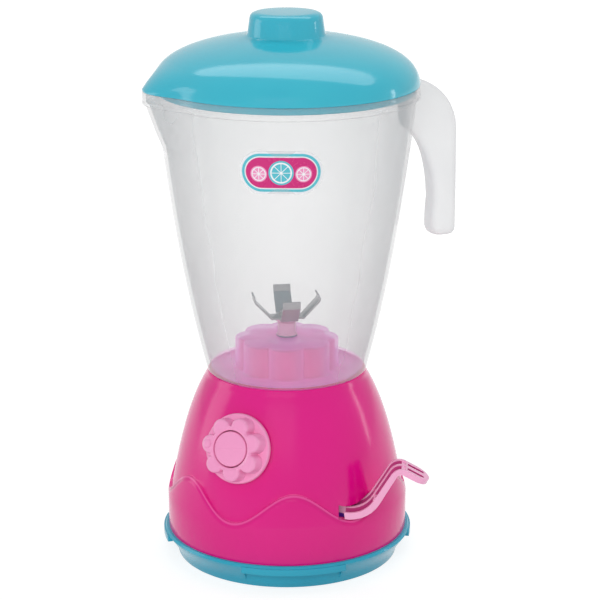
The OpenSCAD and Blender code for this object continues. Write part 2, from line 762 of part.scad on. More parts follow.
// ---- jug ----
// flat spout outline round a tip, from the axis's side of the wall out to the reach
function spout_outline(reach, tip, half_angle, wall) = concat(
    [wall * [cos(-half_angle), sin(-half_angle)]],
    arc([reach - tip, 0], tip, -60, 60, 8),
    [wall * [cos(half_angle), sin(half_angle)], (wall - 8) * [cos(half_angle), sin(half_angle)],
     (wall - 8) * [cos(half_angle), -sin(half_angle)]]
);
spout_half_angle = 22;
spout_sunk = 2.4; // how far inside the wall the spout's sides begin
module spout_solid(inset, low) {
    z_foot = jug_rim_height - spout_height;
    tops = [
        [collar_z + (low > 0 ? 2 : 0.6), spout_reach - 1.5, 5.2, spout_half_angle - 5],
        [z_foot + 0.28 * spout_height, spout_reach - 6.4, 4.2, spout_half_angle * 0.6],
        [z_foot + low, radius_at(jug_curve, z_foot) + 0.1, 3, 6]
    ];
    facing(spout_heading) hull() for (s = tops) translate([0, 0, s[0]]) linear_extrude(step)
        polygon(spout_outline(s[1] - inset, s[2], s[3], radius_at(jug_curve, min(s[0], collar_z)) - inset - spout_sunk));
}
module collar_spout(inset, z0, z1) facing(spout_heading) translate([0, 0, z0]) linear_extrude(z1 - z0)
    polygon(spout_outline(spout_reach - inset, 5.4, spout_half_angle, collar_radius - inset - spout_sunk));

arc_radius = 18;
grip_half = grip_thickness / 2;
handle_top_z = jug_rim_height - 1 - grip_half;
grip_low_z = jug_rim_height - handle_length + grip_half;
module grip_section() for (y = [-1, 1]) translate([0, y * (grip_width - grip_thickness) / 2])
    circle(r = grip_half);
module grip_core() square([grip_thickness, grip_width - grip_thickness], center = true);
module handle() facing(handle_heading) {
    bend_x = grip_radius - arc_radius;
    bend_z = handle_top_z - arc_radius;
    intersection() {
        translate([grip_radius, 0, grip_low_z - 10]) linear_extrude(bend_z - grip_low_z + 10) {
            grip_section();
            grip_core();
        }
        translate([grip_radius, 20, 0]) rotate([90, 0, 0]) linear_extrude(40) {
            translate([0, grip_low_z + 1.5]) circle(r = grip_half + 1.5);
            translate([-20, grip_low_z + 1.5]) square([40, 200]);
        }
    }
    translate([bend_x, 0, bend_z]) rotate([90, 0, 0]) rotate_extrude(angle = 90)
        translate([arc_radius, 0]) {
            grip_section();
            grip_core();
        }
    translate([bend_x, 0, handle_top_z]) rotate([0, -90, 0])
        linear_extrude(bend_x - collar_inner - 0.4 + 3) {
            grip_section();
            grip_core();
        }
    web_curve = bez_curve([
        [jug_top_radius - 4, handle_top_z - 18.8], [jug_top_radius + 4, handle_top_z - 20.5],
        [grip_radius - grip_half, handle_top_z - 31], [grip_radius - grip_half + 0.5, handle_top_z - 52]
    ], 8);
    translate([0, 4.5, 0]) rotate([90, 0, 0]) linear_extrude(9) polygon(concat(
        web_curve, [[grip_radius, handle_top_z - 52], [grip_radius, handle_top_z],
                    [jug_top_radius - 2, handle_top_z]]
    ));
}
module jug() color([0.85, 0.88, 0.9]) difference() {
    union() {
        rotate_extrude() polygon(concat(
            [[0, seat_z], [jug_foot_radius - 0.6, seat_z], [jug_foot_radius + 0.8, seat_z + 1.6]], jug_curve,
            [[collar_radius, collar_z], [collar_radius, collar_z + 1.6], [collar_radius - 0.4, collar_z + 1.9],
             [collar_radius, collar_z + 2.2], [collar_radius, jug_rim_height + 1], [0, jug_rim_height + 1]]
        ));
        spout_solid(0, 0);
        collar_spout(0, collar_z + 0.05, jug_rim_height + 1.5);
        handle();
    }
    difference() {
        rotate_extrude() polygon(concat(
            [[0, jug_floor_top], [jug_low_radius - jug_wall - 1, jug_floor_top]], jug_inner_curve,
            [[collar_inner, collar_z + 1], [collar_inner, jug_rim_height + 3], [0, jug_rim_height + 3]]
        ));
        linear_extrude(turret_top) lobes(0);
    }
    spout_solid(jug_wall, 3.2);
    collar_spout(jug_wall, collar_z + 1.2, jug_rim_height + 4);
    rod(collar_radius + 20, jug_rim_height, jug_rim_height + 6);
    translate([0, 0, seat_z - 1]) linear_extrude(turret_top - turret_wall - seat_z + 1) lobes(turret_wall);
    rod(stem_diameter / 2 + bearing_play, turret_top - 3, turret_top + 1);
}

// the label lies on the jug's wall
label_curve = bez_curve(jug_points, 20);
module jug_label() color([0.96, 0.96, 0.98]) intersection() {
    difference() {
        rotate_extrude() polygon(concat(shift(jug_curve, [label_thickness + 0.05, 0]),
            [[0, collar_z], [0, jug_points[0][1]]]));
        rotate_extrude() polygon(concat(shift(jug_curve, [0.05, 0]),
            [[0, collar_z + 1], [0, jug_points[0][1] - 1]]));
    }
    facing(label_heading) translate([0, 0, label_middle]) rotate([0, 90, 0]) linear_extrude(90) {
        for (y = [-1, 1]) translate([0, y * (label_width - label_height) / 2]) circle(r = label_height / 2);
        square([label_height, label_width - label_height], center = true);
    }
}

// ---- blades and their spindle ----
spindle_base = turret_top + running_gap;
spindle_top = turret_top + spindle_height;
washer_top = spindle_top + 1.8;
sheet_top = washer_top + blade_sheet;
module blade_spindle() color([0.9, 0.45, 0.68]) difference() {
    union() {
        rod(spindle_diameter / 2, spindle_base, spindle_top);
        rod(spindle_diameter / 2 + 0.65, spindle_base, spindle_base + 1);
        rod(stem_diameter / 2, jug_disc_z, spindle_base);
    }
    rod(1.5, spindle_base + 1, spindle_top + 1);
}
module jug_coupling() color([0.9, 0.45, 0.68]) {
    difference() {
        rod(coupling_radius + 0.2, jug_disc_z, jug_disc_top);
        rod(stem_diameter / 2, jug_disc_z - 1, jug_disc_top + 1);
    }
    claws(jug_claw_z, jug_disc_z + 0.5, 60);
}
module blade_washer() color([0.8, 0.8, 0.82]) difference() {
    union() {
        translate([0, 0, spindle_top]) cylinder(r1 = spindle_diameter / 2 - 0.2, r2 = 5.5, h = 0.9);
        rod(5.5, spindle_top + 0.9, washer_top);
    }
    rod(1.5, spindle_top - 1, washer_top + 1);
}
flat_reach = 7.6;
arm_line = [[0, 0], [flat_reach, 0], [blade_reach - 1.2, blade_rise * 0.7], [blade_reach - 0.6, blade_rise]];
curl_line = [[0, 0], [flat_reach, 0], [blade_reach - 1.6, blade_rise * 0.68],
             [blade_reach - 1.2, blade_rise * 0.8], [blade_reach - 2.2, blade_rise]];
// closed outline of a sheet on a line of points
function thick(line, t) = concat(line, back([
    for (i = [0:len(line) - 1]) let (
            a = line[max(i - 1, 0)], b = line[min(i + 1, len(line) - 1)], d = (b - a) / norm(b - a)
        ) line[i] + t * [-d[1], d[0]]
]));
module blade_arm(line) translate([0, blade_width / 2, washer_top]) rotate([90, 0, 0])
    linear_extrude(blade_width) polygon(thick(line, blade_sheet));
module blades() color([0.72, 0.73, 0.75]) facing(blade_heading) difference() {
    union() {
        for (turn = [0, 180, 270]) rotate([0, 0, turn]) blade_arm(arm_line);
        rotate([0, 0, 90]) blade_arm(curl_line);
    }
    rod(1.5, washer_top - 1, sheet_top + 1);
    rotate([0, 0, 270]) translate([blade_reach - 4, 0, washer_top + blade_rise + 1]) rotate([0, 90, 0])
        cylinder(r = 2.4, h = 8, $fn = 4);
}
module blade_screw() color([0.75, 0.75, 0.78]) {
    rod(1.5, spindle_base + 1, sheet_top);
    translate([0, 0, sheet_top]) cylinder(r = 3.6, h = 2.4, $fn = 6);
    rod(2, sheet_top + 2.4, sheet_top + 3.2);
}

// ---- lid ----
module lid_beak(inset, drop) {
    slices = [
        [-1, spout_reach - 0.1, lid_edge - 0.6], [1.2, spout_reach - 0.4, lid_edge - 0.7],
        [3.4, spout_reach - 2.2, lid_edge - 1.6], [6, spout_reach - 5.2, lid_edge - 2.8],
        [9, spout_reach - 10.2, lid_edge - 6.6]
    ];
    facing(spout_heading) hull() for (s = slices)
        translate([0, 0, jug_rim_height - drop + s[0]]) linear_extrude(step)
            polygon(spout_outline(s[1] - inset, 5.2, spout_half_angle, s[2] - inset - spout_sunk));
}
// the dome's outline, drawn in from the outside by some wall
function dome_curve(inset) = bez_curve([
    [lid_edge - inset, jug_rim_height + 0.9], [lid_edge - 1 - inset, jug_rim_height + 10.2 - inset * 0.4],
    [lid_edge - 10.1 - inset, dome_z - 4.3 - inset], [knob_radius - inset, dome_z - inset]
], 16);
module lid() color([0.3, 0.73, 0.8]) {
    difference() {
        union() {
            rotate_extrude() polygon(concat(
                [[0, jug_rim_height - 1.5], [lid_edge, jug_rim_height - 1.5]],
                dome_curve(0),
                arc([knob_radius - 4.3, lid_top - 2.4], 2.4, 5, 90, 5),
                [[0, lid_top]]
            ));
            lid_beak(0, 0);
        }
        rotate_extrude() polygon(concat(
            [[0, jug_rim_height - 5], [lid_skirt_radius - 0.8, jug_rim_height - 5],
             [lid_skirt_radius - 0.8, jug_rim_height + 1.3]],
            [for (p = dome_curve(lid_wall)) if (p[1] > jug_rim_height + 1.6) p],
            [[knob_radius - 4.3 - lid_wall, lid_top - lid_wall], [0, lid_top - lid_wall]]
        ));
        lid_beak(lid_wall, 2.5);
        rod(collar_radius + 20, jug_rim_height - 6, jug_rim_height);
    }
    difference() {
        rod(lid_skirt_radius, jug_rim_height - lid_skirt_depth, jug_rim_height + 1);
        rod(lid_skirt_radius - 1.6, jug_rim_height - lid_skirt_depth - 1, jug_rim_height + 2);
    }
}

bottom_plate();
bottom_screws();
base_shell();
shaft_bush();
gearbox_frame();
gearbox_screws();
gear_axle();
pinion_gear();
crown_gear();
drive_shaft();
shaft_pinion();
drive_coupling();
lever();
lever_pin();
lever_spring();
dial_knob();
dial_cap();
dial_washer();
dial_screw();
jug();
jug_label();
jug_coupling();
blade_spindle();
blade_washer();
blades();
blade_screw();
lid();
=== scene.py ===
"""Looks of a toy blender: its clear jug, turned lid, soft edged mouldings, print and finishes."""

import json
import math

import bpy
import bmesh
from mathutils import Matrix, Vector

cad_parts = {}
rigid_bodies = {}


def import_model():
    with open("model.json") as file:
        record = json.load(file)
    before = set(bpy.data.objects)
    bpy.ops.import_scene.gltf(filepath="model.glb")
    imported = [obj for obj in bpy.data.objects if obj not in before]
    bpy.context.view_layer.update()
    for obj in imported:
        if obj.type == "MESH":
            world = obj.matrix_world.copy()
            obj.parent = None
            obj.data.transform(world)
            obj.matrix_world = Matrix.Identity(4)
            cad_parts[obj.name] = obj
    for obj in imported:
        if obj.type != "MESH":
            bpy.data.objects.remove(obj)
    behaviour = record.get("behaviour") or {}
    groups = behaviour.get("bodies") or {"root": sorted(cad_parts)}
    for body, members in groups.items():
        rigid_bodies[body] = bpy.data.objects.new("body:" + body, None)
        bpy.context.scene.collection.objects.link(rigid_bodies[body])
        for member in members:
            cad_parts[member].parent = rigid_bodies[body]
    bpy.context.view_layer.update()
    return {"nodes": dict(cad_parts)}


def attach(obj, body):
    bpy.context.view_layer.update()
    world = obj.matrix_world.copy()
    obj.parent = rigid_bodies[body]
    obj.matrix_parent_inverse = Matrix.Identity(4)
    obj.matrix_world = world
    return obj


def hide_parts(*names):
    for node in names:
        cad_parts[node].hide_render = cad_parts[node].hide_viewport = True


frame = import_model()
MM = 0.001    # shapes are written in millimetres


# ---------------------------------------------------------------- camera and studio
def aim_camera():
    """A long lens, well in front of the toy and a little above it."""
    lens = bpy.data.cameras.new("camera")
    lens.sensor_width, lens.lens = 36, 126.24
    lens.clip_start, lens.clip_end = 0.05, 30
    camera = bpy.data.objects.new("camera", lens)
    bpy.context.collection.objects.link(camera)
    turn, dip = math.radians(3.5), math.radians(16.12)
    ahead = Vector((math.sin(turn) * math.cos(dip), math.cos(turn) * math.cos(dip), -math.sin(dip)))
    camera.location = (-0.0505, -0.925, 0.3877)
    camera.rotation_euler = ahead.to_track_quat("-Z", "Y").to_euler()
    bpy.context.scene.camera = camera


def softbox(name, place, target, size, power, mirrored=True, outline="RECTANGLE"):
    lamp = bpy.data.lights.new(name, "AREA")
    lamp.shape, lamp.size, lamp.size_y, lamp.energy = outline, size[0], size[1], power
    box = bpy.data.objects.new(name, lamp)
    box.location = place
    box.rotation_euler = (Vector(target) - Vector(place)).to_track_quat("-Z", "Y").to_euler()
    box.visible_glossy = mirrored
    bpy.context.collection.objects.link(box)


def shows_directly(tree):
    """1 where a surface or the world is seen by the camera, or in or through something else."""
    rays = tree.nodes.new("ShaderNodeLightPath")
    either, any_of = tree.nodes.new("ShaderNodeMath"), tree.nodes.new("ShaderNodeMath")
    either.operation = any_of.operation = "MAXIMUM"
    tree.links.new(rays.outputs["Is Camera Ray"], either.inputs[0])
    tree.links.new(rays.outputs["Is Glossy Ray"], either.inputs[1])
    tree.links.new(either.outputs[0], any_of.inputs[0])
    tree.links.new(rays.outputs["Is Transmission Ray"], any_of.inputs[1])
    return any_of.outputs[0]


def light_studio():
    """A bright surround that shows white, a box overhead and behind, one at each side,
    a strip at the right and a fill in front."""
    world = bpy.data.worlds.new("studio")
    bpy.context.scene.world = world
    world.use_nodes = True
    tree = world.node_tree
    tree.nodes.clear()
    output = tree.nodes.new("ShaderNodeOutputWorld")
    seen, lit = tree.nodes.new("ShaderNodeBackground"), tree.nodes.new("ShaderNodeBackground")
    seen.inputs["Strength"].default_value = 1.0
    lit.inputs["Color"].default_value = (0.96, 0.98, 1, 1)
    lit.inputs["Strength"].default_value = 0.4
    mix = tree.nodes.new("ShaderNodeMixShader")
    tree.links.new(shows_directly(tree), mix.inputs[0])
    tree.links.new(lit.outputs[0], mix.inputs[1])
    tree.links.new(seen.outputs[0], mix.inputs[2])
    tree.links.new(mix.outputs[0], output.inputs[0])
    softbox("overhead_box", (0.2, 0.36, 1.2), (0.1, 0.1, 0.2), (2.1, 0.62), 6.6, outline="ELLIPSE")
    softbox("left_box", (-1.0, 0.2, 0.3), (0, 0, 0.13), (0.45, 0.7), 1.6)
    softbox("right_strip", (0.95, 0.12, 0.24), (0, 0, 0.12), (0.05, 0.36), 0.35)
    softbox("right_box", (0.95, 0.22, 0.3), (0, 0, 0.12), (0.55, 0.45), 0.9, mirrored=False)
    softbox("front_fill", (-0.25, -1.25, 0.62), (0, 0, 0.12), (0.9, 0.7), 8.5, mirrored=False)


def lay_floor():
    """White paper, a hair below the toy; its glow is painted stronger away from the toy, so it shows a little
    darker near it, and it keeps its shadow.
    """
    low, side, near, far = -0.0003, 4, -3, 6
    mesh = bpy.data.meshes.new("floor")
    corners = [(-side, near, low), (side, near, low), (side, far, low), (-side, far, low)]
    mesh.from_pydata(corners, [], [(0, 1, 2, 3)])
    floor = bpy.data.objects.new("floor", mesh)
    bpy.context.collection.objects.link(floor)
    paper = bpy.data.materials.new("floor_paper")
    paper.use_nodes = True
    tree = paper.node_tree
    tree.nodes.clear()
    output = tree.nodes.new("ShaderNodeOutputMaterial")
    white, card, dim_card = (tree.nodes.new(kind) for kind in
                             ("ShaderNodeEmission", "ShaderNodeBsdfDiffuse", "ShaderNodeBsdfDiffuse"))
    # painted light: the paper's glow rises from 0.8 near the toy to 0.96 far off, making up for the lamps'
    # falloff
    place, reach, painted_glow_ramp = (tree.nodes.new(kind) for kind in
                            ("ShaderNodeTexCoord", "ShaderNodeVectorMath", "ShaderNodeMapRange"))
    reach.operation = "LENGTH"
    tree.links.new(place.outputs["Object"], reach.inputs[0])
    tree.links.new(reach.outputs["Value"], painted_glow_ramp.inputs["Value"])
    for name, value in (("From Min", 0.15), ("From Max", 0.7), ("To Min", 0.8), ("To Max", 0.96)):
        painted_glow_ramp.inputs[name].default_value = value
    tree.links.new(painted_glow_ramp.outputs["Result"], white.inputs["Strength"])
    card.inputs["Color"].default_value = (0.8, 0.8, 0.8, 1)
    dim_card.inputs["Color"].default_value = (0.3, 0.3, 0.3, 1)
    add, mix = tree.nodes.new("ShaderNodeAddShader"), tree.nodes.new("ShaderNodeMixShader")
    tree.links.new(white.outputs[0], add.inputs[0])
    tree.links.new(dim_card.outputs[0], add.inputs[1])
    tree.links.new(shows_directly(tree), mix.inputs[0])
    tree.links.new(card.outputs[0], mix.inputs[1])
    tree.links.new(add.outputs[0], mix.inputs[2])
    tree.links.new(mix.outputs[0], output.inputs[0])
    mesh.materials.append(paper)


aim_camera()
light_studio()
lay_floor()
bpy.context.scene.view_settings.view_transform = "Standard"


# ---------------------------------------------------------------- finishes
def linear(r, g, b):
    """A colour as a screen shows it, 0 to 255, for a shader."""
    return tuple(c / 255 / 12.92 if c / 255 <= 0.04045 else ((c / 255 + 0.055) / 1.055) ** 2.4
                 for c in (r, g, b)) + (1.0,)


def moulding_group():
    """Moulded plastic: a slow drift of tone, light scuffs in the gloss, and a fine mould grain."""
    group = bpy.data.node_groups.new("moulding", "ShaderNodeTree")
    for name, kind, value in (("Colour", "Color", (1, 1, 1, 1)), ("Shade", "Color", (0.8, 0.8, 0.8, 1)),
                              ("Roughness", "Float", 0.2), ("Scuffs", "Float", 0.1),
                              ("Drift Scale", "Float", 18.0), ("Grain Scale", "Float", 1500.0),
                              ("Grain Depth", "Float", 0.04)):
        socket = group.interface.new_socket(name, in_out="INPUT", socket_type="NodeSocket" + kind)
        socket.default_value = value
    for name, kind in (("Colour", "Color"), ("Roughness", "Float"), ("Normal", "Vector")):
        group.interface.new_socket(name, in_out="OUTPUT", socket_type="NodeSocket" + kind)
    nodes, links = group.nodes, group.links
    given, out = nodes.new("NodeGroupInput"), nodes.new("NodeGroupOutput")
    place = nodes.new("ShaderNodeTexCoord")
    drift, scuff, grain = (nodes.new("ShaderNodeTexNoise") for _ in range(3))
    for noise in (drift, scuff, grain):
        links.new(place.outputs["Object"], noise.inputs["Vector"])
    links.new(given.outputs["Drift Scale"], drift.inputs["Scale"])
    links.new(given.outputs["Grain Scale"], grain.inputs["Scale"])
    drift.inputs["Detail"].default_value = 3
    scuff.inputs["Scale"].default_value = 240
    scuff.inputs["Detail"].default_value = 8
    scuff.inputs["Distortion"].default_value = 1.6
    tone = nodes.new("ShaderNodeMix")
    tone.data_type = "RGBA"
    soft = nodes.new("ShaderNodeMapRange")
    soft.inputs["From Min"].default_value, soft.inputs["From Max"].default_value = 0.35, 0.7
    links.new(drift.outputs["Fac"], soft.inputs["Value"])
    links.new(soft.outputs["Result"], tone.inputs["Factor"])
    links.new(given.outputs["Colour"], tone.inputs["A"])
    links.new(given.outputs["Shade"], tone.inputs["B"])
    links.new(tone.outputs["Result"], out.inputs["Colour"])
    worn = nodes.new("ShaderNodeMapRange")
    worn.inputs["From Min"].default_value, worn.inputs["From Max"].default_value = 0.5, 0.75
    links.new(scuff.outputs["Fac"], worn.inputs["Value"])
    dulled = nodes.new("ShaderNodeMath")
    dulled.operation = "MULTIPLY_ADD"
    links.new(worn.outputs["Result"], dulled.inputs[0])
    links.new(given.outputs["Scuffs"], dulled.inputs[1])
    links.new(given.outputs["Roughness"], dulled.inputs[2])
    links.new(dulled.outputs[0], out.inputs["Roughness"])
    bump = nodes.new("ShaderNodeBump")
    bump.inputs["Distance"].default_value = 0.00006
    links.new(given.outputs["Grain Depth"], bump.inputs["Strength"])
    links.new(grain.outputs["Fac"], bump.inputs["Height"])
    links.new(bump.outputs["Normal"], out.inputs["Normal"])
    return group


moulding = moulding_group()


def finish(name, colour, shade, roughness=0.2, scuffs=0.08, grain=1500, depth=0.05, drift=18, **own):
    """A material in moulded plastic or metal; own holds more of the shader's sockets."""
    made = bpy.data.materials.new(name)
    made.use_nodes = True
    tree = made.node_tree
    shader = tree.nodes["Principled BSDF"]
    surface = tree.nodes.new("ShaderNodeGroup")
    surface.node_tree = moulding
    for socket, value in (("Colour", linear(*colour)), ("Shade", linear(*shade)), ("Roughness", roughness),
                          ("Scuffs", scuffs), ("Grain Scale", grain), ("Grain Depth", depth),
                          ("Drift Scale", drift)):
        surface.inputs[socket].default_value = value
    tree.links.new(surface.outputs["Colour"], shader.inputs["Base Color"])
    tree.links.new(surface.outputs["Roughness"], shader.inputs["Roughness"])
    tree.links.new(surface.outputs["Normal"], shader.inputs["Normal"])
    for socket, value in own.items():
        shader.inputs[socket.replace("_", " ")].default_value = value
    return made


LIGHT_LET_THROUGH = 0.85


def clear_wall(name, colour, shade, face_on, edge_on, blend=0.5, roughness=0.1):
    """Clear plastic of one skin: nearly open face on, cloudier where the eye meets it edge on. Its back
    faces don't show, and most light goes through to what stands inside."""
    made = finish(name, colour, shade, roughness=roughness, scuffs=0.02, depth=0.004, drift=30)
    tree = made.node_tree
    shader = tree.nodes["Principled BSDF"]
    slant = tree.nodes.new("ShaderNodeLayerWeight")
    slant.inputs["Blend"].default_value = blend
    ramp = tree.nodes.new("ShaderNodeMapRange")
    ramp.inputs["To Min"].default_value, ramp.inputs["To Max"].default_value = face_on, edge_on
    tree.links.new(slant.outputs["Facing"], ramp.inputs["Value"])
    behind = tree.nodes.new("ShaderNodeNewGeometry")
    front = tree.nodes.new("ShaderNodeMath")
    front.operation = "SUBTRACT"
    front.inputs[0].default_value = 1.0
    tree.links.new(behind.outputs["Backfacing"], front.inputs[1])
    skin = tree.nodes.new("ShaderNodeMath")
    skin.operation = "MULTIPLY"
    tree.links.new(ramp.outputs["Result"], skin.inputs[0])
    tree.links.new(front.outputs[0], skin.inputs[1])
    rays = tree.nodes.new("ShaderNodeLightPath")
    lit, passed = tree.nodes.new("ShaderNodeMath"), tree.nodes.new("ShaderNodeMath")
    lit.operation, passed.operation = "MULTIPLY_ADD", "MULTIPLY"
    tree.links.new(rays.outputs["Is Shadow Ray"], lit.inputs[0])
    lit.inputs[1].default_value, lit.inputs[2].default_value = -LIGHT_LET_THROUGH, 1.0
    tree.links.new(skin.outputs[0], passed.inputs[0])
    tree.links.new(lit.outputs[0], passed.inputs[1])
    tree.links.new(passed.outputs[0], shader.inputs["Alpha"])
    return made


def sums(tree):
    """A short way to write arithmetic on sockets and numbers."""
    def op(kind, *terms):
        node = tree.nodes.new("ShaderNodeMath")
        node.operation = kind
        for socket, term in zip(node.inputs, terms):
            if isinstance(term, (int, float)):
                socket.default_value = term
            else:
                tree.links.new(term, socket)
        return node.outputs[0]
    return op


LABEL_STRAIGHT, LABEL_ROUND = 8.5, 9.5    # half the label's straight run, and the radius of its ends
PRINT_FIELD = 36                          # width in mm of the square that the print's UVs span
INK_TEAL, INK_PINK, INK_MAGENTA = (84, 190, 205), (240, 150, 194), (206, 22, 118)
PAPER, PITH = (240, 240, 243), (244, 244, 246)
# middle, radius and pulp of each slice of fruit
SLICES = ((0, 0, 5.4, INK_TEAL), (-9.6, -0.6, 3.6, INK_PINK), (9.6, -0.6, 3.6, INK_PINK))


def printed_film():
    """The label's print: a pill in magenta with a teal and a white border, and three slices of fruit."""
    film = finish("label_film", PAPER, (232, 232, 236), roughness=0.25, depth=0.02)
    tree = film.node_tree
    op = sums(tree)
    flat = tree.nodes.new("ShaderNodeUVMap")
    flat.uv_map = "print"
    parts = tree.nodes.new("ShaderNodeSeparateXYZ")
    tree.links.new(flat.outputs["UV"], parts.inputs[0])
    x = op("MULTIPLY_ADD", parts.outputs["X"], PRINT_FIELD, -PRINT_FIELD / 2)
    y = op("MULTIPLY_ADD", parts.outputs["Y"], PRINT_FIELD, -PRINT_FIELD / 2)

    def disc(cx, cy):
        dx, dy = op("SUBTRACT", x, cx), op("SUBTRACT", y, cy)
        return op("SQRT", op("ADD", op("MULTIPLY", dx, dx), op("MULTIPLY", dy, dy)))

    def under(value, limit, soft=0.12):
        """1 below the limit and 0 above it, with a soft edge."""
        step = tree.nodes.new("ShaderNodeMapRange")
        step.inputs["From Min"].default_value = limit + soft
        step.inputs["From Max"].default_value = limit - soft
        tree.links.new(value, step.inputs["Value"])
        return step.outputs["Result"]
    past = op("MAXIMUM", op("SUBTRACT", op("ABSOLUTE", x), LABEL_STRAIGHT), 0.0)
    edge = op("SQRT", op("ADD", op("MULTIPLY", past, past), op("MULTIPLY", y, y)))
    colour = tree.nodes["Principled BSDF"].inputs["Base Color"].links[0].from_socket
    layers = [(under(edge, 8.5), INK_TEAL), (under(edge, 7.3), PAPER), (under(edge, 6.8), INK_MAGENTA)]
    for cx, cy, size, pulp in SLICES:
        slice_ = disc(cx, cy)
        turn = op("ARCTAN2", op("SUBTRACT", y, cy), op("SUBTRACT", x, cx))
        wedge = op("MULTIPLY", op("ABSOLUTE", op("SINE", op("MULTIPLY", turn, 4.0))), slice_)
        flesh = op("MULTIPLY", under(slice_, 0.74 * size), op("SUBTRACT", 1.0, under(wedge, 0.55, 0.1)))
        layers += [(under(slice_, size), pulp), (under(slice_, 0.86 * size), PITH), (flesh, pulp)]
    for mask, shade in layers:
        layer = tree.nodes.new("ShaderNodeMix")
        layer.data_type = "RGBA"
        tree.links.new(mask, layer.inputs["Factor"])
        tree.links.new(colour, layer.inputs["A"])
        layer.inputs["B"].default_value = linear(*shade)
        colour = layer.outputs["Result"]
    tree.links.new(colour, tree.nodes["Principled BSDF"].inputs["Base Color"])
    return film


teal = finish("teal_plastic", (54, 184, 204), (46, 176, 200), roughness=0.12, Specular_IOR_Level=0.5)
deep_teal = finish("deep_teal_plastic", (46, 170, 196), (38, 160, 188), roughness=0.2, scuffs=0.03,
                   Specular_IOR_Level=0.35)
magenta = finish("magenta_plastic", (227, 8, 135), (221, 4, 128), roughness=0.17, scuffs=0.01, depth=0.02,
                 drift=9, Specular_IOR_Level=0.4)
rose = finish("rose_plastic", (232, 178, 208), (222, 160, 196), roughness=0.28)
pink = finish("pink_plastic", (247, 160, 204), (243, 148, 197), roughness=0.25, scuffs=0.03)
pale_pink = finish("light_pink_plastic", (251, 182, 217), (247, 170, 209), roughness=0.25, scuffs=0.03)
silver = finish("silver_plastic", (178, 178, 180), (166, 166, 168), roughness=0.18, scuffs=0.02,
                Metallic=0.35)
# painted light: the gearbox frame glows a little in purple, so it shows purple in the slot's shade
purple = finish("purple_plastic", (92, 44, 140), (80, 36, 124), roughness=0.35,
                Emission_Color=linear(92, 30, 150), Emission_Strength=0.3)
yellow = finish("yellow_plastic", (244, 200, 60), (236, 188, 48), roughness=0.35)
cream = finish("white_plastic", (236, 234, 224), (226, 224, 212), roughness=0.35)
steel = finish("steel", (176, 178, 182), (150, 152, 158), roughness=0.28, scuffs=0.2, Metallic=1.0)


LIP_HEIGHT, LIP_SWING, LIP_WAVES = 0.0374, 0.0071, 6.0    # the skirt's wavy edge, in metres


def rounded_lip(material, depth):
    """Rounds the shell below its wavy lip with a bump, so that the edge catches the light, and paints a
    highlight along the edge in a paler pink.
    """
    tree = material.node_tree
    op = sums(tree)
    place, parts = tree.nodes.new("ShaderNodeTexCoord"), tree.nodes.new("ShaderNodeSeparateXYZ")
    tree.links.new(place.outputs["Object"], parts.inputs[0])
    heading = op("ARCTAN2", parts.outputs["X"], op("MULTIPLY", parts.outputs["Y"], -1.0))
    edge = op("MULTIPLY_ADD", op("COSINE", op("MULTIPLY", heading, LIP_WAVES)), LIP_SWING, LIP_HEIGHT)
    below = op("SUBTRACT", edge, parts.outputs["Z"])
    fall = tree.nodes.new("ShaderNodeMapRange")
    fall.interpolation_type = "SMOOTHSTEP"
    for name, value in (("From Min", -0.0004), ("From Max", 0.0028), ("To Min", 0.0), ("To Max", 1.0)):
        fall.inputs[name].default_value = value
    tree.links.new(below, fall.inputs["Value"])
    bump = tree.nodes.new("ShaderNodeBump")
    bump.inputs["Strength"].default_value = 1.0
    bump.inputs["Distance"].default_value = depth
    tree.links.new(fall.outputs["Result"], bump.inputs["Height"])
    shader = tree.nodes["Principled BSDF"]
    tree.links.new(shader.inputs["Normal"].links[0].from_socket, bump.inputs["Normal"])
    tree.links.new(bump.outputs["Normal"], shader.inputs["Normal"])
    # painted highlight: a paler pink along the wave's edge, where the rounded lip catches the light
    near = tree.nodes.new("ShaderNodeMapRange")
    near.interpolation_type = "SMOOTHSTEP"
    for name, value in (("From Min", 0.0009), ("From Max", 0.0001), ("To Min", 0.0), ("To Max", 0.55)):
        near.inputs[name].default_value = value
    tree.links.new(op("ABSOLUTE", op("SUBTRACT", below, 0.0003)), near.inputs["Value"])
    painted_highlight = tree.nodes.new("ShaderNodeMix")
    painted_highlight.data_type = "RGBA"
    tree.links.new(near.outputs["Result"], painted_highlight.inputs["Factor"])
    tree.links.new(shader.inputs["Base Color"].links[0].from_socket, painted_highlight.inputs["A"])
    painted_highlight.inputs["B"].default_value = linear(246, 104, 178)
    tree.links.new(painted_highlight.outputs["Result"], shader.inputs["Base Color"])


rounded_lip(magenta, 0.0008)
jug_clear = clear_wall("clear_plastic", (196, 196, 196), (188, 188, 189), 0.25, 0.85, blend=0.35)
turret_clear = clear_wall("cloudy_plastic", (244, 158, 224), (238, 148, 216), 0.38, 0.92)
# painted light: the cloudy turret glows a little in pink, standing in for light scattered in the milky
# plastic
painted_glow = turret_clear.node_tree.nodes["Principled BSDF"].inputs
painted_glow["Emission Color"].default_value, painted_glow["Emission Strength"].default_value = linear(226, 92, 212), 0.2
handle_milk = clear_wall("milky_plastic", (216, 216, 217), (208, 208, 210), 0.58, 0.96, roughness=0.2)
film = printed_film()
# painted shade: a darker copy of the lever's light pink, for the shade in its grooves and slots
painted_groove_shade = finish("light_pink_plastic_groove", (206, 74, 142), (196, 60, 132), roughness=0.35, scuffs=0.03)
ring_grey = finish("ring_plastic", (120, 128, 150), (104, 112, 136), roughness=0.3)

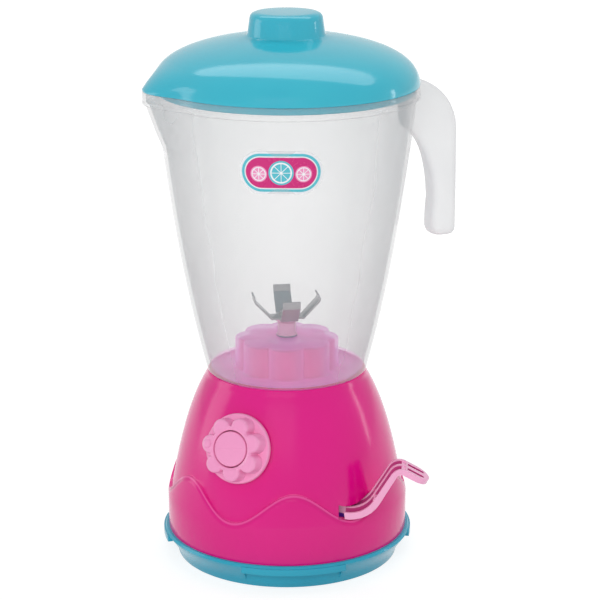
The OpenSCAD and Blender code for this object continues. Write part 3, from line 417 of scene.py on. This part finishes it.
NODE_FINISH = {
    "bottom_plate": deep_teal, "bottom_screws": steel, "base_shell": magenta, "shaft_bush": cream,
    "gearbox_frame": purple, "gearbox_screws": steel, "gear_axle": steel, "pinion_gear": cream,
    "crown_gear": yellow, "drive_shaft": steel, "shaft_pinion": cream, "drive_coupling": cream,
    "lever": pale_pink, "lever_pin": steel, "lever_spring": steel, "dial_knob": pink, "dial_cap": pink,
    "dial_washer": cream, "dial_screw": steel, "jug": jug_clear, "jug_label": cream, "jug_coupling": rose,
    "blade_spindle": rose, "blade_washer": rose, "blades": silver, "blade_screw": silver, "lid": teal,
}
for node, material in NODE_FINISH.items():
    held = frame["nodes"][node].data
    held.materials.clear()
    held.materials.append(material)


# ---------------------------------------------------------------- shapes
def piece(name, points, faces, material, body, smooth=35):
    """A mesh from points in millimetres, smooth up to an angle, that rides on a body."""
    mesh = bpy.data.meshes.new(name)
    mesh.from_pydata([tuple(c * MM for c in p) for p in points], [], faces)
    mesh.materials.append(material)
    mesh.polygons.foreach_set("use_smooth", [True] * len(mesh.polygons))
    mesh.set_sharp_from_angle(angle=math.radians(smooth))
    made = bpy.data.objects.new(name, mesh)
    bpy.context.collection.objects.link(made)
    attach(made, body)
    return made


def ringed(rings, closed=False, start=None, end=None):
    """Points and faces through rings of equal count; closed joins the last ring to the first, and start
    and end are poles. Rings run counterclockwise from above and go so that faces point outwards."""
    count = len(rings[0])
    points = [p for ring in rings for p in ring]
    faces = []
    pairs = list(range(len(rings) if closed else len(rings) - 1))
    for i in pairs:
        a, b = i * count, (i + 1) % len(rings) * count
        for k in range(count):
            n = (k + 1) % count
            faces.append((a + k, a + n, b + n, b + k))
    if start is not None:
        points.append(start)
        faces += [(len(points) - 1, (k + 1) % count, k) for k in range(count)]
    if end is not None:
        points.append(end)
        last = (len(rings) - 1) * count
        faces += [(len(points) - 1, last + k, last + (k + 1) % count) for k in range(count)]
    return points, faces


def bezier(points, count):
    """Points on a curve of Bezier's kind."""
    made = []
    for i in range(count + 1):
        t, row = i / count, [Vector(p) for p in points]
        while len(row) > 1:
            row = [a.lerp(b, t) for a, b in zip(row, row[1:])]
        made.append(tuple(row[0]))
    return made


def heading_point(radius, heading, z):
    """A point at a radius, turned from the front towards the right."""
    a = math.radians(heading)
    return (radius * math.sin(a), -radius * math.cos(a), z)


def apart(heading, other):
    """The angle between two headings."""
    return abs((heading - other + 180) % 360 - 180)


def outward(made, merged=True):
    """Turns a mesh's faces outwards, once its doubles are merged."""
    shape = bmesh.new()
    shape.from_mesh(made.data)
    if merged:
        bmesh.ops.remove_doubles(shape, verts=shape.verts, dist=1e-7)
    bmesh.ops.recalc_face_normals(shape, faces=shape.faces)
    shape.to_mesh(made.data)
    shape.free()


AROUND = 240                                   # points in one ring of the jug or the lid
SPOUT, SPOUT_HALF, SPOUT_DRAWN = -73, 25, 6.5  # heading, half width in degrees, and reach past the round
JUG_WALL, COLLAR, RIM, SEAT = 1.8, 214.6, 220.3, 86.5
TURRET_TOP, TURRET_WALL, TURRET_HOLE = 103, 1.5, 3.1
JUG_CURVE = [(36.7, 88.9), (47.8, 130.9), (53.6, 172.6), (58.3, COLLAR)]   # radius and height


def spout_bump(heading, half):
    """1 at the middle of the spout, falling to 0 at its sides with a hollow blend."""
    d = apart(heading, SPOUT) / half
    return 0 if d >= 1 else (0.5 + 0.5 * math.cos(math.pi * d)) ** 1.25


def lobed(heading, shrink):
    """Radius of the turret's lobed outline."""
    ring, lobe = 14.6, 9.2 - shrink
    d = math.radians((heading + 4 + 22.5) % 45 - 22.5)
    reach = ring * math.cos(d) + math.sqrt(max(0, lobe ** 2 - (ring * math.sin(d)) ** 2))
    return reach


def jug_ring(radius, z, spread=0.0, half=24.0, lobes=None):
    """One ring of the jug: round, drawn out by the spout, or lobed where lobes gives the shrink."""
    ring = []
    for k in range(AROUND):
        heading = 360 * k / AROUND
        r = radius + spread * spout_bump(heading, half) if lobes is None else lobed(heading, lobes) - radius
        ring.append(heading_point(r, heading, z))
    return ring


def spout_at(z):
    """How far the spout draws the wall out at a height, and its half width in degrees."""
    s = min(1, max(0, (z - (RIM - 27.7)) / 22))
    return SPOUT_DRAWN * s ** 0.7, 10 + 15 * s


def build_jug():
    """The jug in one skin: up the turret, over its floor, up inside, over the collar and down outside."""
    outer = bezier(JUG_CURVE, 44)
    rings = [jug_ring(TURRET_HOLE, TURRET_TOP), jug_ring(9, TURRET_TOP), jug_ring(1.0, TURRET_TOP, lobes=0),
             jug_ring(0.3, 102.7, lobes=0), jug_ring(0, 102, lobes=0), jug_ring(0, 96, lobes=0),
             jug_ring(0, 89.6, lobes=0),
             jug_ring(-0.3, 88.8, lobes=0), jug_ring(-1.1, 88.5, lobes=0), jug_ring(30, 88.5),
             jug_ring(34, 88.7), jug_ring(35, 89.8)]
    inner = [(r - JUG_WALL, z) for r, z in outer if z > 91]
    rings += [jug_ring(r, z, *spout_at(z)) for r, z in inner]
    collar = [(57.9, COLLAR + 1.0), (57.9, RIM - 0.4), (58.2, RIM), (59.4, RIM), (59.69, RIM - 0.3),
              (59.69, COLLAR + 2.3), (59.4, COLLAR + 2.0), (59.4, COLLAR + 1.7), (59.69, COLLAR + 1.4),
              (59.69, COLLAR + 0.3), (59.4, COLLAR)]
    rings += [jug_ring(r, z, SPOUT_DRAWN, SPOUT_HALF) for r, z in collar]
    rings += [jug_ring(r, z, *spout_at(z)) for r, z in reversed(outer)]
    rings += [jug_ring(35.0, 88.1), jug_ring(34.6, 87.2), jug_ring(33.6, SEAT), jug_ring(26, SEAT)]
    rings += [jug_ring(0, SEAT, lobes=1.2)]
    rings += [jug_ring(r, z, lobes=TURRET_WALL) for r, z in ((0, SEAT + 0.6), (0, 100.9), (0.6, 101.5))]
    rings += [jug_ring(TURRET_HOLE, TURRET_TOP - TURRET_WALL)]
    points, faces = ringed(rings[::-1], closed=True)
    jug = piece("jug_body", points, faces, jug_clear, "jug", smooth=50)
    jug.data.materials.append(turret_clear)
    for face in jug.data.polygons:
        reach = math.hypot(*face.center[:2])
        if face.center.z < 89.9 * MM or (face.center.z < 104 * MM and reach < 25.2 * MM):
            face.material_index = 1    # the floor and the turret
    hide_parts("jug")


GRIP_HEADING, GRIP_REACH, GRIP_SHOULDER = 107, 82.15, 194.8
GRIP_WIDE, GRIP_SQUARE = 7.3, 0.64    # half its width, and how square its section is (1 is an ellipse)


def build_handle():
    """The grip hangs from the collar in one soft form, deep where it meets the jug and slim at its end."""
    outer, inner = [], []    # reach and height along the two edges
    web = bezier([(57.8, 196), (61.5, 193.5), (69.6, 184), (70.2, 162)], 40)
    outer += [(56.4, 219.3), (58, 219.3)]
    inner += [(56.4, 196.8), web[0]]
    for i in range(1, 16):
        a = math.radians(6 * i)
        outer.append((58 + (GRIP_REACH - 58) * math.sin(a), GRIP_SHOULDER + 24.5 * math.cos(a)))
        inner.append(web[round(22 * i / 15)])
    for i in range(1, 10):
        outer.append((GRIP_REACH, GRIP_SHOULDER - 32.8 * i / 9))
        inner.append(web[22 + 2 * i])
    for z in (158, 154, 150.4):
        outer.append((GRIP_REACH, z))
        inner.append((69.9 - 0.4 * (162 - z) / 12, z))
    sections = []
    stations = [(o, i, 1.0) for o, i in zip(outer, inner)]
    stations += [((75.9 + 6.4 * k, z), (75.9 - 6.4 * k, z), k) for k, z in
                 ((0.985, 148.6), (0.93, 147.0), (0.84, 146.0), (0.7, 145.45), (0.5, 145.3))]
    for (ox, oz), (ix, iz), shrink in stations:
        middle = Vector(((ox + ix) / 2, (oz + iz) / 2))
        half = Vector(((ox - ix) / 2, (oz - iz) / 2))
        deep = max(0, half.length - 6.5)
        ring = []
        for k in range(48):
            t = math.radians(7.5 * k)
            c, d = math.cos(t), math.sin(t)
            u, v = (math.copysign(abs(q) ** GRIP_SQUARE, q) for q in (c, d))
            slim = GRIP_WIDE - min(3.0, 0.55 * deep) * (0.5 - 0.5 * u)
            spot = middle + half * u
            ring.append((spot.x, v * slim * shrink, spot.y))
        sections.append(ring)
    h = math.radians(GRIP_HEADING)

    def placed(p):
        return (p[0] * math.sin(h) - p[1] * math.cos(h), -p[0] * math.cos(h) - p[1] * math.sin(h), p[2])
    rings = [[placed(p) for p in ring] for ring in sections]
    points, faces = ringed(rings, start=placed((56.4, 0, 208)), end=placed((76, 0, 145.3)))
    handle = piece("jug_handle", points, faces, handle_milk, "jug", smooth=60)
    outward(handle)


def build_lid():
    """The lid: a dome drawn out to a beak over the spout, a tall knob, and a skirt inside the collar."""
    def ring(radius, z, spread=0.0):
        return [heading_point(radius + spread * spout_bump(360 * k / AROUND, SPOUT_HALF), 360 * k / AROUND, z)
                for k in range(AROUND)]
    dome = bezier([(59.6, 221.2), (58.6, 230.5), (49.5, 237.8), (18.6, 241.9)], 40)
    spread = [SPOUT_DRAWN * max(0, 1 - (z - 221.2) / 10.5) ** 1.1 for _, z in dome]
    knob = [(17.7, 242.3), (17.2, 243.2), (16.4, 249.2), (16.0, 250.8), (15.2, 251.7), (13.8, 252.25),
            (12, 252.4), (4, 252.4)]
    knob_inside = [(6, 250.4), (13, 250.2), (14.2, 249), (15.2, 242), (16.6, 240.2)]
    skirt = [(56.0, 220.6), (56.0, 217.3), (56.3, 217), (57.3, 217), (57.6, 217.3), (57.6, RIM)]
    under = [(r - 2, z - 1.9, max(0, s - 0.6)) for (r, z), s in zip(dome, spread) if z > 223.4]
    rings = [ring(*spot) for spot in knob_inside + under[::-1] + skirt]
    rings += [ring(59.2, RIM, SPOUT_DRAWN), ring(59.6, 220.6, SPOUT_DRAWN)]
    rings += [ring(r, z, s) for (r, z), s in zip(dome, spread)] + [ring(*spot) for spot in knob]
    points, faces = ringed(rings, start=(0, 0, 250.4), end=(0, 0, 252.4))
    lid = piece("lid_dome", points, faces, teal, "lid", smooth=32)
    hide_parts("lid")


def bevelled(made, width, angle, corner="MITER_SHARP"):
    """Rounds a mesh's sharp edges for good."""
    bevel = made.modifiers.new("edges", "BEVEL")
    bevel.width, bevel.segments, bevel.limit_method = width * MM, 3, "ANGLE"
    bevel.angle_limit = math.radians(angle)
    bevel.miter_outer = corner
    graph = bpy.context.evaluated_depsgraph_get()
    rounded = bpy.data.meshes.new_from_object(made.evaluated_get(graph))
    made.modifiers.clear()
    made.data = rounded
    rounded.polygons.foreach_set("use_smooth", [True] * len(rounded.polygons))
    rounded.set_sharp_from_angle(angle=math.radians(angle + 8))


def softened(node, width):
    """A CAD node's solid with its sharp edges rounded, as a moulding's are."""
    held = frame["nodes"][node]
    mesh = held.data.copy()
    mesh.name = node + "_rounded"
    shape = bmesh.new()
    shape.from_mesh(mesh)
    bmesh.ops.remove_doubles(shape, verts=shape.verts, dist=2e-6)
    bmesh.ops.dissolve_limit(shape, angle_limit=math.radians(0.4), verts=shape.verts, edges=shape.edges)
    shape.to_mesh(mesh)
    shape.free()
    made = bpy.data.objects.new(node + "_rounded", mesh)
    bpy.context.collection.objects.link(made)
    bevelled(made, width, 30, "MITER_ARC")
    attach(made, held.parent.name.replace("body:", ""))
    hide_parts(node)
    return made


def build_label():
    """The printed film lies on the jug's wall and follows its curve."""
    wall = bezier(JUG_CURVE, 60)
    middle, heading, top, back = 192, -5.5, 0.34, 0.06

    def on_wall(u, v, lift):
        """A point of the flat label, u across and v up, lifted off the wall."""
        z = middle + v
        for (r0, z0), (r1, z1) in zip(wall, wall[1:]):
            if z0 <= z <= z1:
                r = r0 + (r1 - r0) * (z - z0) / (z1 - z0)
        return heading_point(r + lift, heading + math.degrees(u / 56), z)
    outline = []
    for k in range(96):
        a = math.radians(-180 + 360 * (k + 0.5) / 96)
        straight = LABEL_STRAIGHT if abs(a) < math.pi / 2 else -LABEL_STRAIGHT
        outline.append((straight + LABEL_ROUND * math.cos(a), LABEL_ROUND * math.sin(a)))
    scales = [i / 10 for i in range(1, 11)] + [1.0] + [i / 10 for i in range(10, 0, -1)]
    flat = [[(u * scale, v * scale) for u, v in outline] for scale in scales]
    rings = [[on_wall(u, v, lift) for u, v in ring] for ring, lift in zip(flat, [top] * 10 + [back] * 11)]
    points, faces = ringed(rings, start=on_wall(0, 0, top), end=on_wall(0, 0, back))
    label = piece("label_print", points, faces, film, "jug", smooth=40)
    spots = [uv for ring in flat for uv in ring] + [(0, 0), (0, 0)]
    layer = label.data.uv_layers.new(name="print")
    for loop in label.data.loops:
        u, v = spots[loop.vertex_index]
        layer.data[loop.index].uv = (u / PRINT_FIELD + 0.5, v / PRINT_FIELD + 0.5)
    outward(label, merged=False)
    label.data.materials.append(cream)    # the back of the film is plain
    for face in label.data.polygons:
        if face.normal.dot(Vector((face.center.x, face.center.y, 0))) < 0:
            face.material_index = 1
    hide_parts("jug_label")


DIAL_HEADING, DIAL_LEAN, DIAL_REACH, DIAL_HEIGHT = -30, 16.551, 46.7045, 63
PETALS, PETAL_RING, PETAL_RADIUS, FIRST_PETAL = 7, 10.25, 4.5, 266
CAP_RADIUS, WELL_RADIUS = 7.85, 8.3


def dial_frame():
    """The dial's own axes: out of the shell along Z, with X down and Y to the right as it is seen."""
    return (Matrix.Rotation(math.radians(DIAL_HEADING - 90), 4, "Z")
            @ Matrix.Translation((DIAL_REACH, 0, DIAL_HEIGHT))
            @ Matrix.Rotation(math.radians(90 - DIAL_LEAN), 4, "Y"))


def dial_ring(place, radius, height, around):
    """One ring of the dial or its cap; height is a number, or gives it at a radius and an angle."""
    ring = []
    for k in range(around):
        a = 2 * math.pi * k / around
        z = height(radius, a) if callable(height) else height
        ring.append(tuple(place @ Vector((radius * math.cos(a), radius * math.sin(a), z))))
    return ring


def build_dial():
    """A disc with seven pillowed petals round a well, and a domed cap with a fine ridge."""
    place = dial_frame()
    petals = [math.radians(FIRST_PETAL + 360 * i / PETALS) for i in range(PETALS)]

    def height(r, a):
        x, y = r * math.cos(a), r * math.sin(a)
        depths = [PETAL_RADIUS - math.hypot(x - PETAL_RING * math.cos(p), y - PETAL_RING * math.sin(p))
                  for p in petals]
        depths.append(PETAL_RING + 0.4 - r)
        inside = max(depths)
        top = 3.0
        if inside > 0:
            pillow = 1 - min(1, inside / 1.9)
            top += 4.6 * min(1, inside / 0.35) + 2.4 * math.sqrt(1 - pillow ** 2)
            top -= 0.6 * min(1, max(0, (9.7 - r) / 1.3))
        # the pointer is a bead on the first petal
        bead = 1 - math.hypot(x - 11.4 * math.cos(petals[0]), y - 11.4 * math.sin(petals[0])) / 1.9
        return top + (math.sqrt(1 - (1 - bead) ** 2) if bead > 0 else 0)

    disc = [(1.1, -5.3), (3, -5.3), (3, 0.3), (15.1, 0.3), (15.6, 0.5), (15.75, 0.9), (15.75, 2.1),
            (15.6, 2.7)]
    face = [(15.35 - 0.14 * i, height) for i in range(50)]
    well = [(WELL_RADIUS, 9.0), (WELL_RADIUS, 4.5), (1.1, 4.5)]
    points, faces = ringed([dial_ring(place, r, z, 420) for r, z in disc + face + well], closed=True)
    knob = piece("dial_flower", points, faces, pink, "dial", smooth=40)
    outward(knob)
    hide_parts("dial_knob")

    def cap_height(r, a):
        side = abs(r * math.cos(a - math.radians(8)))
        ridge = 0.14 * max(0, 1 - side / 0.42) if r < 6.2 else 0
        return 10.35 - 0.75 * (r / (CAP_RADIUS - 0.1)) ** 2 + ridge

    rim = [(CAP_RADIUS - 0.1, 4.6), (CAP_RADIUS, 5.0), (CAP_RADIUS, 9.0), (CAP_RADIUS - 0.1, 9.4)]
    dome = [(CAP_RADIUS - 0.3 - 0.19 * i, cap_height) for i in range(39)]
    low, high = (tuple(place @ Vector((0, 0, z))) for z in (4.6, cap_height(0, 0)))
    points, faces = ringed([dial_ring(place, r, z, 180) for r, z in rim + dome], start=low, end=high)
    cap = piece("dial_middle", points, faces, pink, "dial", smooth=40)
    outward(cap)
    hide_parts("dial_cap")


# The lever, seen from the front along its pin: its arm bends round the pivot, rises, and bends over to the
# pad. Slopes are in degrees, upwards to the right.
LEVER_TURN, LEVER_MIDDLE, ROOT_CUT = -7, -40.8, -34.5
PIVOT, BEND_RADIUS, BEND_STEPS = Vector((31.3, 47)), 13, 12
RISE_LENGTH, HIGH_RADIUS, HIGH_STEPS = 14.9, 4, 8
INNER_SLOPE, RISE_SLOPE, PAD_SLOPE = -58, 59, -28
BEND_HALF, RISE_HALF, PAD_HALF = 2.2, 2.0, 1.3    # half the arm's thickness
RAILS_FIRST, ROOT_END = 5, 7                      # stations of the bend: the rails' first, and past the root
RAILS_END = Vector((55.7, 54.4))                  # inside the pad


def sloped(slope):
    """The direction of a slope."""
    return Vector((math.cos(math.radians(slope)), math.sin(math.radians(slope))))


def arm_stations():
    """Place, slope and half thickness along the arm's middle line, from its inner end to the pad."""
    made = []
    for i in range(BEND_STEPS + 1):
        slope = INNER_SLOPE + (RISE_SLOPE - INNER_SLOPE) * i / BEND_STEPS
        made.append((PIVOT + BEND_RADIUS * sloped(slope - 90), slope, BEND_HALF))
    high = made[-1][0] + RISE_LENGTH * sloped(RISE_SLOPE) + HIGH_RADIUS * sloped(RISE_SLOPE - 90)
    for i in range(HIGH_STEPS + 1):
        slope = RISE_SLOPE + (PAD_SLOPE - RISE_SLOPE) * i / HIGH_STEPS
        half = RISE_HALF + (PAD_HALF - RISE_HALF) * i / HIGH_STEPS
        made.append((high + HIGH_RADIUS * sloped(slope + 90), slope, half))
    return made


def build_lever():
    """Three rails with deep grooves between them, cross ribs and a pierced finger pad; the root and its
    toothed sector stay as the solid has them."""
    across = Matrix.Rotation(math.radians(LEVER_TURN), 4, "Z")
    arm = arm_stations()
    bend, top = arm[RAILS_FIRST:BEND_STEPS + 1], arm[BEND_STEPS + 1:]
    foot = bend[-1][0] + 1.7 * sloped(RISE_SLOPE)
    line = bend + [(foot, RISE_SLOPE, 2.18)] + top + [(RAILS_END, PAD_SLOPE, PAD_HALF)]
    first = (line[0][0] - Vector((0.45, -0.08)), 8, BEND_HALF)
    shape = bmesh.new()

    def corner(p, y):
        return shape.verts.new(across @ Vector((p.x, y, p.y)) * MM)

    def bar(y0, y1, run, low, high):
        """A bar along the arm from y0 to y1; low and high give its edges at a station."""
        rings = []
        for i, (spot, slope, half) in run:
            up = sloped(slope + 90)
            a, b = spot + up * low(i, half), spot + up * high(i, half)
            rings.append([corner(a, y0), corner(a, y1), corner(b, y1), corner(b, y0)])
        for one, two in zip(rings, rings[1:]):
            for k in range(4):
                shape.faces.new((one[k], one[(k + 1) % 4], two[(k + 1) % 4], two[k]))
        shape.faces.new(rings[0])
        shape.faces.new(rings[-1][::-1])

    def bottom(i, half):
        return -half

    def slant(drop, below=0.0):
        """A rail's top, lowered along the arm and level with the others at the pad, or a little below it."""
        return lambda i, half: half - drop * min(1, max(0, (18 - i) / 8)) - below
    front = [(-1, first)] + list(enumerate(line))
    whole = list(enumerate(line))
    bar(-47.28, -45.75, front, bottom, slant(1.35))
    bar(-41.6, -40.0, whole, slant(0.55, 0.6), slant(0.55))
    bar(-35.8, -34.32, whole, slant(0.0, 0.6), slant(0.0))
    # cross ribs, at the foot of the rise and before the pad
    bar(-46.6, -35.0, whole[7:9], bottom, slant(0.0, 1.0))
    bar(-46.6, -35.0, whole[15:], bottom, slant(0.0, 0.5))
    rails = len(shape.faces)
    # painted shade, in a darker pink: the floor between the rails, the lower part of the middle and inner
    # rails, and the front rail's inner side, where shade falls in the grooves
    bar(-47.1, -34.5, whole, lambda i, half: -half + 0.1, lambda i, half: -half + 0.8)
    bar(-41.4, -40.2, whole, bottom, slant(0.55, 0.4))
    bar(-35.6, -34.5, whole, bottom, slant(0.0, 0.4))
    bar(-45.8, -45.5, whole, bottom, slant(1.35, 0.3))
    painted_shade_faces = list(shape.faces)[rails:]
    # the pad: a plate with two slots and a round end, over a thin floor; the slots' walls and the floor get
    # the darker pink, a painted shade
    along, up = sloped(PAD_SLOPE), sloped(PAD_SLOPE + 90)
    start, length, half_width = arm[-1][0], 11.8, 6.5

    def pad_loop(u0, u1, middle, radius):
        """An outline on the pad, square at u0 and round at u1."""
        made = [(u0, middle + radius), (u0, middle - radius)]
        for a in range(0, 181, 9):
            t = math.radians(a - 90)
            made.append((u1 - radius + radius * math.cos(t), middle + radius * math.sin(t)))
        return made
    loops = [pad_loop(0.0, length, LEVER_MIDDLE, half_width)]
    slots = [pad_loop(0.9, length - 2.7, LEVER_MIDDLE + side, 1.15) for side in (-2.75, 2.75)]

    def slab(loops, low, high):
        """A plate between two heights over the pad's middle; the loops after the first are holes."""
        layers = []
        for w in (low, high):
            layer, edges = [], []
            for loop in loops:
                ring = [corner(start + along * u + up * w, y) for u, y in loop]
                edges += [shape.edges.new((ring[k], ring[(k + 1) % len(ring)])) for k in range(len(ring))]
                layer.append(ring)
            bmesh.ops.triangle_fill(shape, edges=edges, use_beauty=True)
            layers.append(layer)
        for j, (lower, upper) in enumerate(zip(*layers)):
            for k in range(len(lower)):
                n = (k + 1) % len(lower)
                shape.faces.new((lower[k], lower[n], upper[n], upper[k])).material_index = min(j, 1)
    slab(loops + slots, -1.3, 1.3)
    rails = len(shape.faces)
    slab([pad_loop(0.2, length - 0.8, LEVER_MIDDLE, half_width - 0.8)], -1.2, -0.8)
    painted_shade_faces += list(shape.faces)[rails:]
    for face in painted_shade_faces:
        face.material_index = 1
    bmesh.ops.recalc_face_normals(shape, faces=shape.faces)
    mesh = bpy.data.meshes.new("lever_rails")
    shape.to_mesh(mesh)
    shape.free()
    made = bpy.data.objects.new("lever_rails", mesh)
    bpy.context.collection.objects.link(made)
    mesh.materials.append(pale_pink)
    mesh.materials.append(painted_groove_shade)
    bevelled(made, 0.36, 40)
    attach(made, "lever")
    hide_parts("lever")
    # the root behind the rails, cut from the solid
    held = frame["nodes"]["lever"].data.copy()
    shape = bmesh.new()
    shape.from_mesh(held)
    bmesh.ops.remove_doubles(shape, verts=shape.verts, dist=2e-6)
    cut = bmesh.ops.bisect_plane(shape, geom=shape.verts[:] + shape.edges[:] + shape.faces[:],
                                 plane_co=across @ Vector((0, ROOT_CUT * MM, 0)),
                                 plane_no=across.to_3x3() @ Vector((0, -1, 0)), clear_outer=True)
    bmesh.ops.holes_fill(shape, edges=[e for e in cut["geom_cut"]
                                       if isinstance(e, bmesh.types.BMEdge) and e.is_boundary])
    bar(-40.7, -34.4, list(enumerate(arm[:ROOT_END])), bottom, slant(0.0))
    bmesh.ops.recalc_face_normals(shape, faces=shape.faces)
    shape.to_mesh(held)
    shape.free()
    held.name = "lever_root"
    root = bpy.data.objects.new("lever_root", held)
    bpy.context.collection.objects.link(root)
    held.polygons.foreach_set("use_smooth", [True] * len(held.polygons))
    held.set_sharp_from_angle(angle=math.radians(30))
    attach(root, "lever")


build_jug()
build_handle()
build_lid()
build_label()
build_dial()
build_lever()
RING_TOP, RING_INNER = 103.9, 2.5    # the grey ring at the spindle's foot
for node, radius in (("base_shell", 0.45), ("bottom_plate", 0.35), ("blades", 0.22),
                     ("blade_spindle", 0.4), ("blade_washer", 0.25), ("blade_screw", 0.3)):
    made = softened(node, radius)
    if node == "blade_spindle":
        made.data.materials.append(ring_grey)
        for face in made.data.polygons:
            if face.center.z < RING_TOP * MM and math.hypot(*face.center[:2]) > RING_INNER * MM:
                face.material_index = 1
